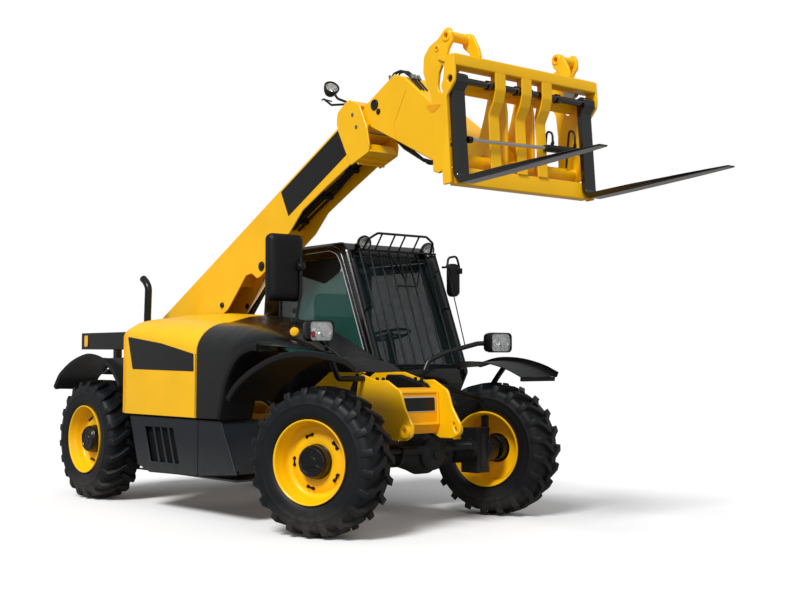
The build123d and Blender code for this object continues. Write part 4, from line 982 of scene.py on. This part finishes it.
for y in (-RACK_HALF, RACK_HALF - 0.02):
    rack.plate(END, carriage_side(y), 0, 0.020, holes=[SHAFT_HOLE])
for low, high in ((LANE - 0.598, LANE - 0.442), (LANE + 0.462, LANE + 0.598)):
    rack.lathe([(low, 0.0), (low, 0.034), (high, 0.034), (high, 0.0)], on_carriage(*EYE, -LANE), LEFT, 32)
rack.done()
shaft = Piece("fork_bar", bar_black, "carriage", "fork_shaft")
shaft.lathe("-680,0 -680,22 -678,24 678,24 680,22 680,0", on_carriage(*SHAFT), LEFT, 32)
for offset in (-0.37, -0.10, 0.02, 0.30):
    shaft.ring("0,24 0,33 30,33 30,24", on_carriage(*SHAFT, offset), LEFT, 28)
shaft.done()

# ---- forks
FORK_BACK, HEEL, FORK_LENGTH, FORK_Y, HALF_WIDTH = 0.263, -0.252, 1.200, 0.620, 0.055
TAPER_FROM, TAPER_LENGTH, TAPER = 0.80, 0.40, 0.020
# (ahead of the fork's back, above the tilt pin, corner radius)
FORK = [(FORK_BACK + a, b, r) for a, b, r in (
    (0, 0.468, 0.01), (0, HEEL + 0.055, 0.05), (0.055, HEEL, 0.06), (0.40, HEEL + 0.002, 0.1),
    (FORK_LENGTH - 0.010, HEEL + 0.016, 0.006), (FORK_LENGTH, HEEL + 0.022, 0.002),
    (FORK_LENGTH - 0.006, HEEL + 0.026, 0.004), (0.400, HEEL + 0.040, 0.2), (0.060, HEEL + 0.040, 0.02),
    (0.040, HEEL + 0.062, 0.02), (0.040, 0.370, 0.03), (0.080, 0.402, 0.03), (0.080, 0.458, 0.02),
    (0.045, 0.479, 0.02))]


def fork_width_at(a):
    """Half width of the fork: full along the shank, tapered over the blade's last part."""
    reach = a - FORK_BACK - TAPER_FROM
    return HALF_WIDTH if reach < 0 else HALF_WIDTH - TAPER * (reach / TAPER_LENGTH) ** 1.6


outline = fillet(FORK, 0.01, 6)
dense = []
for p, q in zip(outline, outline[1:] + outline[:1]):
    steps = max(1, int((q - p).length / 0.06))
    dense += [p.lerp(q, k / steps) for k in range(steps)]
if area(dense) < 0:
    dense.reverse()
tight = inset(dense, 0.004)
for name, y in (("right", -FORK_Y), ("left", FORK_Y)):
    rings = [[on_carriage(p.x, p.y, y + depth * fork_width_at(p.x)) for p in source]
             for source, depth in ((tight, -1.0), (dense, -0.93), (dense, 0.93), (tight, 1.0))]
    blade = Piece("blade_" + name, fork_paint, "carriage", "fork_" + name)
    blade.grid(rings, close_columns=True, flip=True)
    for tri in triangles([tight]):
        blade.faces += [tuple(tri), tuple(3 * len(dense) + i for i in reversed(tri))]
    blade.done(35)

# ---- fork positioner
ram_start, ram_end = on_carriage(0.300, 0.045, -0.565), on_carriage(0.300, 0.080, 0.565)
lean, length = (ram_end - ram_start).normalized(), (ram_end - ram_start).length
Piece("positioner_ram", chrome, "carriage", "positioner").lathe("4,0 4,13 800,13 800,0", ram_start, lean,
                                                                   24).done()
barrel = Piece("positioner_barrel", paint_black, "carriage")
barrel.lathe([(w + length, r) for w, r in mm("-400,0 -400,20 -370,26 -30,26 -12,20 -6,0")], ram_start, lean, 28)
for s in (length - 0.33, length - 0.10):
    barrel.lathe("0,0 0,13 45,13 45,10 55,10 55,0", ram_start + lean * s, (0.3, 0, 1), 6)
barrel.lathe("0,0 0,24 30,24 34,0", ram_start + lean * 0.004, lean, 8).done()

# ---- hoses on the gooseneck and the carriage
nose_lines, nose_fit = Piece("nose_lines", hose_black, "telescope"), Piece("nose_unions", steel, "telescope")
for k, y in enumerate((-0.085, -0.055, -0.020)):
    over = ((4.020, 0.058, y), (4.050, 0.088 + 0.008 * k, y), (4.130, 0.062, y + 0.01), (4.190, -0.045, y),
            (4.245, -0.210, y))
    under = ((3.800, -0.300), (3.870, -0.470), (3.980, -0.640 - 0.02 * k), (4.110, -0.770))
    nose_lines.tube([on_boom(*point) for point in over], 0.0065, 10, 0.06)
    nose_lines.tube([on_boom(u, v, y + 0.02) for u, v in under], 0.010, 10, 0.09)
    for u, v in mm("4010,58 4215,-89"):
        nose_fit.lathe("0,0 0,15 22,15 22,12 40,12 40,0", on_boom(u, v, y), ACROSS, 6)
nose_lines.done()
nose_fit.done()
ram_lines = Piece("positioner_lines", hose_black, "carriage")
for s, reach in ((0.33, 0.060), (0.10, 0.085)):
    start = ram_start + lean * (length - s) + Vector((0.012, 0, 0.045))
    steps = ((0, 0, 0), (0, 0, reach), (-0.070, 0.020, reach + 0.030), (-0.100, 0.030, -0.060),
             (-0.110, 0.030, -0.150))
    ram_lines.tube([start + Vector(step) for step in steps], 0.008, 10, 0.06)
ram_lines.done()

# ---- chassis frame and nose
FRAME_RIGHT, FRAME_LEFT, FRAME_PLATE = -0.460, 0.020, 0.020
FRAME_SIDE = fillet("""-3780,700 -3040,700,30 -3010,430,30 -620,430,50 -420,700,50 206,700,30 300,665,30 440,668,60
    515,705,50 520,775,60 430,900,50 385,1020,60 228,1097,60 120,1092,40 -105,1150,40 -440,1150,50 -620,1050,50
    -900,760,50 -2600,760,50 -2800,900,50 -3780,900,10""")
TOWER = fillet("""-3570,780 -2980,780 -3220,1330,50 -3260,1480,80 -3340,1540,80 -3470,1540,80 -3540,1460,60
    -3570,1300,50""")
CLEVIS = fillet("-3010,430 -2760,430 -2790,660,60 -2960,660,60", 0.01)
slot = fillet("442,795,10 462,780,10 496,712,12 472,706,12 440,760,10", 0.01, 3)
chassis = Piece("frame_plates", paint, replaces="chassis_frame")
for low in (FRAME_RIGHT, FRAME_LEFT - FRAME_PLATE):
    chassis.plate(FRAME_SIDE, car_side(low), 0, FRAME_PLATE, 0.004, [slot])
for corners in ("-3780,560 -3740,900", "-3740,780 -3000,820", "-2920,430 -2820,480", "-2000,430 -1900,480",
                "-1300,430 -1200,480", "-700,430 -640,480"):
    (x_low, z_low), (x_high, z_high) = mm(corners)
    chassis.box(at(x_low, FRAME_RIGHT + 0.002, z_low), at(x_high, FRAME_LEFT - 0.002, z_high))
for low in (LANE - 0.163, LANE + 0.143):
    chassis.plate(TOWER, car_side(low), 0, FRAME_PLATE, 0.004, [circle(-3.4, 1.4, 0.0403, 32)])
    chassis.ring("-4,40.5 24,40.5 24,62 -4,62", at(-3.4, low, 1.4), LEFT, 36)
for x in (-1.85, -0.65):
    chassis.box(at(x - 0.04, FRAME_LEFT - 0.02, 0.74), at(x + 0.04, 0.98, 0.85), 0.006)
for low in (LANE - 0.100, LANE + 0.080):
    chassis.plate(CLEVIS, car_side(low), 0, FRAME_PLATE, 0.004)
chassis.lathe("-106,0 -106,30 106,30 106,0", at(-2.88, LANE, 0.60), LEFT, 28)
for y, out in ((FRAME_RIGHT, -1), (FRAME_LEFT, 1)):
    chassis.ring("-2,20 26,20 30,24 30,44 26,48 -2,48", at(0.455, y, 0.735), (0, out, 0), 32)
chassis.done()


def on_panel(y, z, depth):
    """The headstock's front face leans a little: its x follows the height."""
    lean = 0.300 - 0.015 * (z - 0.760) / 0.260 if z > 0.760 else 0.300 - 0.030 * (0.760 - z) / 0.060
    return at(lean + depth, y, z)


def one_plate(name, material, outline, view, low, high, edge=0.003, replaces="", slot=None):
    Piece(name, material, replaces=replaces, slot=slot).plate(outline, view, low, high, edge).done()


one_plate("nose_panel", paint_cast, fillet("""270,700 300,760 290,900 285,1020,20 200,1040 200,1020 262,1000,20
    268,900 276,770 250,712""", 0.004), car_side(FRAME_RIGHT + 0.020), 0, 0.440, 0.002, "headstock")
Piece("nose_panel_rim", paint).plate(rect("-436,765 -4,1018", 0.012), on_panel, 0, 0.007, 0.002,
                                     [rect("-418,782 -22,1000", 0.012)]).done()
# a blank plate in the place of the maker's
one_plate("nose_blank_plate", plastic_gloss, rect("-352,868 -42,966", 0.010), on_panel, 0.001, 0.004, 0.001)
one_plate("nose_plate_edge", highlight_and_rim_grey, rect("-358,862 -36,972", 0.012), on_panel, 0.0005, 0.002, 0.0005)
covers = Piece("nose_side_covers", shade_dark)
LANE_EDGE = -0.378, -0.062  # the boom and its collar swing down through the lane between the two covers
for low, high in ((FRAME_RIGHT + 0.021, LANE_EDGE[0]), (LANE_EDGE[1], FRAME_LEFT - 0.021)):
    covers.plate(fillet("-260,840 240,840 245,1010 180,1070 120,1078 -105,1130 -260,1130", 0.03), car_side(low), 0,
                 high - low, 0.012)
covers.done()
fittings = Piece("nose_fittings", cast)
for y in (-0.412, -0.034):
    for x in (-0.02, 0.06, 0.13):
        fittings.lathe("0,0 0,18 30,18 30,13 52,13 52,0", at(x, y, 1.062), (0.25, 0, 1), 6)
fittings.done()
one_plate("nose_gaiter", boot, fillet("-235,930,20 -100,1155,10 -85,1120,20 -120,960,30", 0.01),
          car_side(FRAME_RIGHT - 0.012), 0, 0.012, 0.004)
tongue = Piece("pod_tongue", paint)
tongue.plate(fillet("-387,1138 -160,1075,20 -227,1050 -387,1075", 0.004), car_side(FRAME_RIGHT - 0.006), 0, 0.006,
             0.002)
tongue.plate(fillet("-400,1338 -20,1172,20 10,1140,10 -60,1150 -400,1300", 0.004), car_side(-0.468), 0, 0.008,
             0.002).done()

# ---- front axle details
AXLE = 0.070, 0.530  # y and height of the differential's middle
axle = Piece("axle_cover", cast)
axle.lathe("0,0 0,120 30,118 50,100 62,70 66,0", at(0.120, *AXLE), FORWARD, 40)
axle.lathe("60,0 60,34 82,30 86,0", at(0.120, *AXLE), FORWARD, 28)
for y, z in circle(*AXLE, 0.106, 10):
    axle.bolt(at(0.146, y, z), FORWARD, 0.008, 0.010)
axle.tube("135,-420,565 135,540,565", 0.020, 20).tube("135,-240,565 135,260,565", 0.034, 24).done()
bellows = Piece("axle_bellows", boot)
folds = [(0.022 * k + step, r) for k in range(9) for step, r in ((0, 0.064), (0.011, 0.078))]
for side in (-1, 1):
    bellows.lathe([(0.0, 0.0)] + folds + mm("200,64 200,0"), at(0.045, AXLE[0] + side * 0.270, AXLE[1]),
                  (0, side, 0), 36)
bellows.done(60)

# ---- fender brackets
bracket = Piece("fender_props", paint_black, replaces="fender_brackets")
bracket.tube("-30,-460,1105 -30,-700,1105 -30,-760,1235", 0.021, 14, 0.04)
bracket.tube("-30,20,1050 -35,300,1046 -40,740,930 -40,830,800", 0.020, 14, 0.08)
bracket.tube("-50,828,658 -50,832,960 -50,980,1120 -55,1055,1190", 0.022, 14, 0.10)
bracket.plate(rect("-85,655 -15,850", 0.01), car_side(0.806), 0, 0.012)
for side in (-1, 1):
    for inner, outer, low, high in ((0.650, 0.680, 0.95, 1.200), (0.650, 0.760, 1.190, 1.228)):
        right, left = sorted((side * inner, side * outer))
        bracket.box(at(-3.230, right, low), at(-3.170, left, high))
bracket.done()
prop_bolts = Piece("fender_prop_bolts", steel)
for z in (0.690, 0.820):
    for x in (-0.070, -0.030):
        prop_bolts.bolt(at(x, 0.806, z), (0, -1, 0), 0.008, 0.008)
prop_bolts.done()
one_plate("fender_flap", plastic, rect("700,1075 1095,1108", 0.008), across(0.455), 0, 0.006, 0.002)

# ---- cab
CAB_RIGHT, CAB_LEFT, CAB_WALL = 0.030, 1.030, 0.040
CAB_SIDE = fillet("""-610,860,30 -450,1140,50 -860,2150,80 -920,2215,60 -1850,2205,120 -2000,2130,120 -2080,1300,50
    -1950,860,30""", 0.03, 6)
SIDE_WINDOW = fillet("-1800,1260,60 -622,1260,40 -966,2080,70 -1800,2080,80", 0.03, 6)
DOOR_OPENING = fillet("-1820,905,50 -700,905,50 -570,1140,50 -960,2090,80 -1820,2090,80", 0.03, 6)
cab = Piece("cab_shell", gloss_black, replaces="cab_frame")
for low, opening in ((CAB_RIGHT, SIDE_WINDOW), (CAB_LEFT - CAB_WALL, DOOR_OPENING)):
    cab.plate(CAB_SIDE, car_side(low), 0, CAB_WALL, 0.010, [opening])
# from side to side: roof, cowl under the windscreen, floor, rear sill and windscreen header
for outline, edge in (
        (fillet("-915,2172,20 -935,2212,30 -1850,2205,100 -1990,2130,100 -1960,2100 -1840,2160,50", 0.01, 5),
         0.002),
        (fillet("-640,862 -610,862 -500,1050 -490,1180 -545,1180 -540,1130", 0.01), 0.003),
        ("-640,862 -640,900 -1920,900 -1950,862", 0.003),
        (fillet("-1952,862 -1915,862 -2035,1330 -2078,1330 -2078,1300", 0.01), 0.003)):
    cab.plate(outline, car_side(CAB_RIGHT + 0.03), 0, 0.940, edge)
for y in (CAB_RIGHT + 0.03, CAB_LEFT - 0.08):
    cab.plate(fillet("-482,1160 -462,1160 -856,2140 -915,2190 -900,2110", 0.01), car_side(y), 0, 0.050, 0.006)
    cab.plate(fillet("-2040,1310 -2076,1310 -1998,2120 -1960,2100", 0.01), car_side(y), 0, 0.070, 0.006)
cab.plate(fillet("-895,2088 -835,2088 -862,2150 -922,2212 -940,2165", 0.008), car_side(CAB_RIGHT + 0.03), 0, 0.940)
for z in (1.000, 1.900):  # the door's hinges
    cab.box(at(-1.880, CAB_LEFT, z), at(-1.830, CAB_LEFT + 0.016, z + 0.040), 0.003)
    cab.lathe("0,0 0,13 40,13 40,7 80,7 80,0", at(-1.830, CAB_LEFT + 0.016, z), UP, 20)
for x in (-1.85, -0.65):
    for y in (CAB_RIGHT + 0.06, CAB_LEFT - 0.12):
        cab.box(at(x - 0.03, y - 0.03, 0.850), at(x + 0.03, y + 0.03, 0.863), 0.002)
cab.done(30)
# a thin light grey line along the near pillar's window edge: a painted highlight
Piece("pillar_painted_highlight", highlight_and_rim_grey, slot="cab_black").tube(
    "-1420,28,2140 -1080,28,2150 -985,28,2120 -930,28,2040 -590,28,1235", 0.0035, 8, 0.10).done()
Piece("pillar_trim", gloss_black).tube(
    "-1500,36,2175 -1060,36,2185 -945,36,2140 -900,36,2050 -540,36,1200", 0.020, 14, 0.12).done()
one_plate("window_drop_panel", shade_dark, fillet("""-1790,2085 -975,2085,20 -930,1985,50 -1050,1930,50
    -1169,1880,50 -1290,1910,60 -1476,1956,50 -1600,2040,50 -1790,2050""", 0.01), car_side(CAB_RIGHT + 0.012), 0,
          0.004, 0.001)
PANE = 0.005
one_plate("side_pane", glass, fillet("-1812,1250 -606,1250 -956,2092 -1812,2092"), car_side(CAB_RIGHT + 0.018), 0,
          PANE, 0.001, "cab_glass")
# the windscreen and rear pane in the darker copy of the glass, as painted shade
screens = Piece("front_and_rear_panes", glass_painted_shade)
screens.plate("90,0 970,0 970,982 90,982", lambda y, s, d: at(-0.468 - 0.3757 * s + d, y, 1.180 + 0.9267 * s), 0,
              PANE, 0.001)
screens.plate("110,0 950,0 950,733 110,733", lambda y, s, d: at(-2.058 + 0.095 * s + d, y, 1.330 + 0.9955 * s), 0,
              PANE, 0.001).done()

# ---- windscreen guard
GUARD_FOOT, GUARD_REACH = (-0.400, 1.200), (-0.390, 0.950)
WIRE, RAIL = (0.0075, 8), (0.010, 10)  # radius and sides


def on_guard(y, share):
    """A place on the guard's plane: share runs from its foot to its top."""
    return at(GUARD_FOOT[0] + GUARD_REACH[0] * share, y, GUARD_FOOT[1] + GUARD_REACH[1] * share)


guard = Piece("screen_guard", paint_black, replaces="roof_guard")
for foot_y, top_y in mm("100,110 182,215 286,320 390,425 494,530 598,635 702,740 810,845 940,950"):
    guard.tube([on_guard(foot_y, 0), on_guard(top_y, 1)], *WIRE)
for share in (0.0, 1.0):
    guard.tube([on_guard(0.098, share), on_guard(0.960, share)], *RAIL)
for y in (0.115, 0.945):
    for share in (0.02, 0.5, 0.98):
        foot = on_guard(y, share)
        guard.tube([foot, foot + Vector((-0.062, 0, 0.0))], 0.008, 8)
hoop = places("-722,160,2235 -705,240,2284 -705,780,2284 -722,870,2235")
guard.tube([on_guard(0.150, 1.0), *hoop, on_guard(0.900, 1.0)], *RAIL, 0.05)
for y in (0.290, 0.432, 0.545, 0.699):
    guard.tube([at(-0.705, y, 2.284), on_guard(y - 0.01, 1.0)], *WIRE)
for line in ("425,690 640,690", "430,990 528,730 640,990", "640,690 700,800 736,860"):
    guard.tube([on_guard(*point) for point in mm(line)], *WIRE)
guard.done()

# ---- inside the cab
def cushion(name, origin, along, up, half_width, thick, length, replaces=""):
    """A stuffed pad: full in the middle, pulled in between its corners, with two sewn channels."""
    rows = []
    along, up = Vector(along).normalized(), Vector(up).normalized()
    for s in np.linspace(0, 1, 22):
        swell = max(0.0, 1 - abs(2 * s - 1) ** 5) ** 0.5
        sewn = 1 - 0.10 * (math.exp(-((s - 0.36) / 0.02) ** 2) + math.exp(-((s - 0.68) / 0.02) ** 2))
        half_w, half_t = half_width * (0.80 + 0.20 * swell), thick / 2 * (0.35 + 0.65 * swell) * sewn
        ring = []
        for k in range(32):
            a = math.tau * k / 32
            c, t = math.cos(a), math.sin(a)
            u = half_w * math.copysign(abs(c) ** 0.45, c)
            v = half_t * math.copysign(abs(t) ** 0.70, t)
            v += 0.018 * swell * (1 - (u / half_width) ** 2) * (t > 0)
            ring.append(origin + along * (length * s) + Vector(LEFT) * u + up * v)
        rows.append(ring)
    made = Piece(name, cloth, replaces=replaces).grid(rows, close_columns=True, caps=2).done(60)


cushion("seat_cushion", at(-1.655, 0.530, 1.195), (1, 0, 0.05), UP, 0.235, 0.125, 0.450, "seat")
cushion("seat_back", at(-1.600, 0.530, 1.270), (-0.12, 0, 1), (1, 0, 0.12), 0.225, 0.105, 0.560)
seat_base = Piece("seat_base", plastic).block("-1600,360,900 -1230,700,1020", 0.02)
seat_base.plate(fillet("-1620,1020 -1210,1020 -1230,1135 -1600,1135"), car_side(0.320), 0, 0.420, 0.015).done()
column = Piece("steering_wheel_set", plastic, replaces="steering_column")
hub, tilt = at(-0.903, 0.530, 1.452), Vector((-0.251, 0, 0.968))
column.ring("0,178 12,168 24,178 12,189", hub - tilt * 0.012, tilt, 56)
column.lathe("0,0 0,48 18,42 20,0", hub - tilt * 0.010, tilt, 28)
for turn in (0, 120, 240):
    out = Matrix.Rotation(math.radians(turn), 3, tilt) @ Vector(LEFT)
    column.tube([hub + out * 0.03, hub + out * 0.178], 0.010, 10)
column.tube([hub - tilt * 0.02, at(-0.770, 0.530, 0.940)], 0.034, 20)
column.lathe("0,52 200,44 200,0", at(-0.775, 0.530, 0.960), tilt, 24).done()
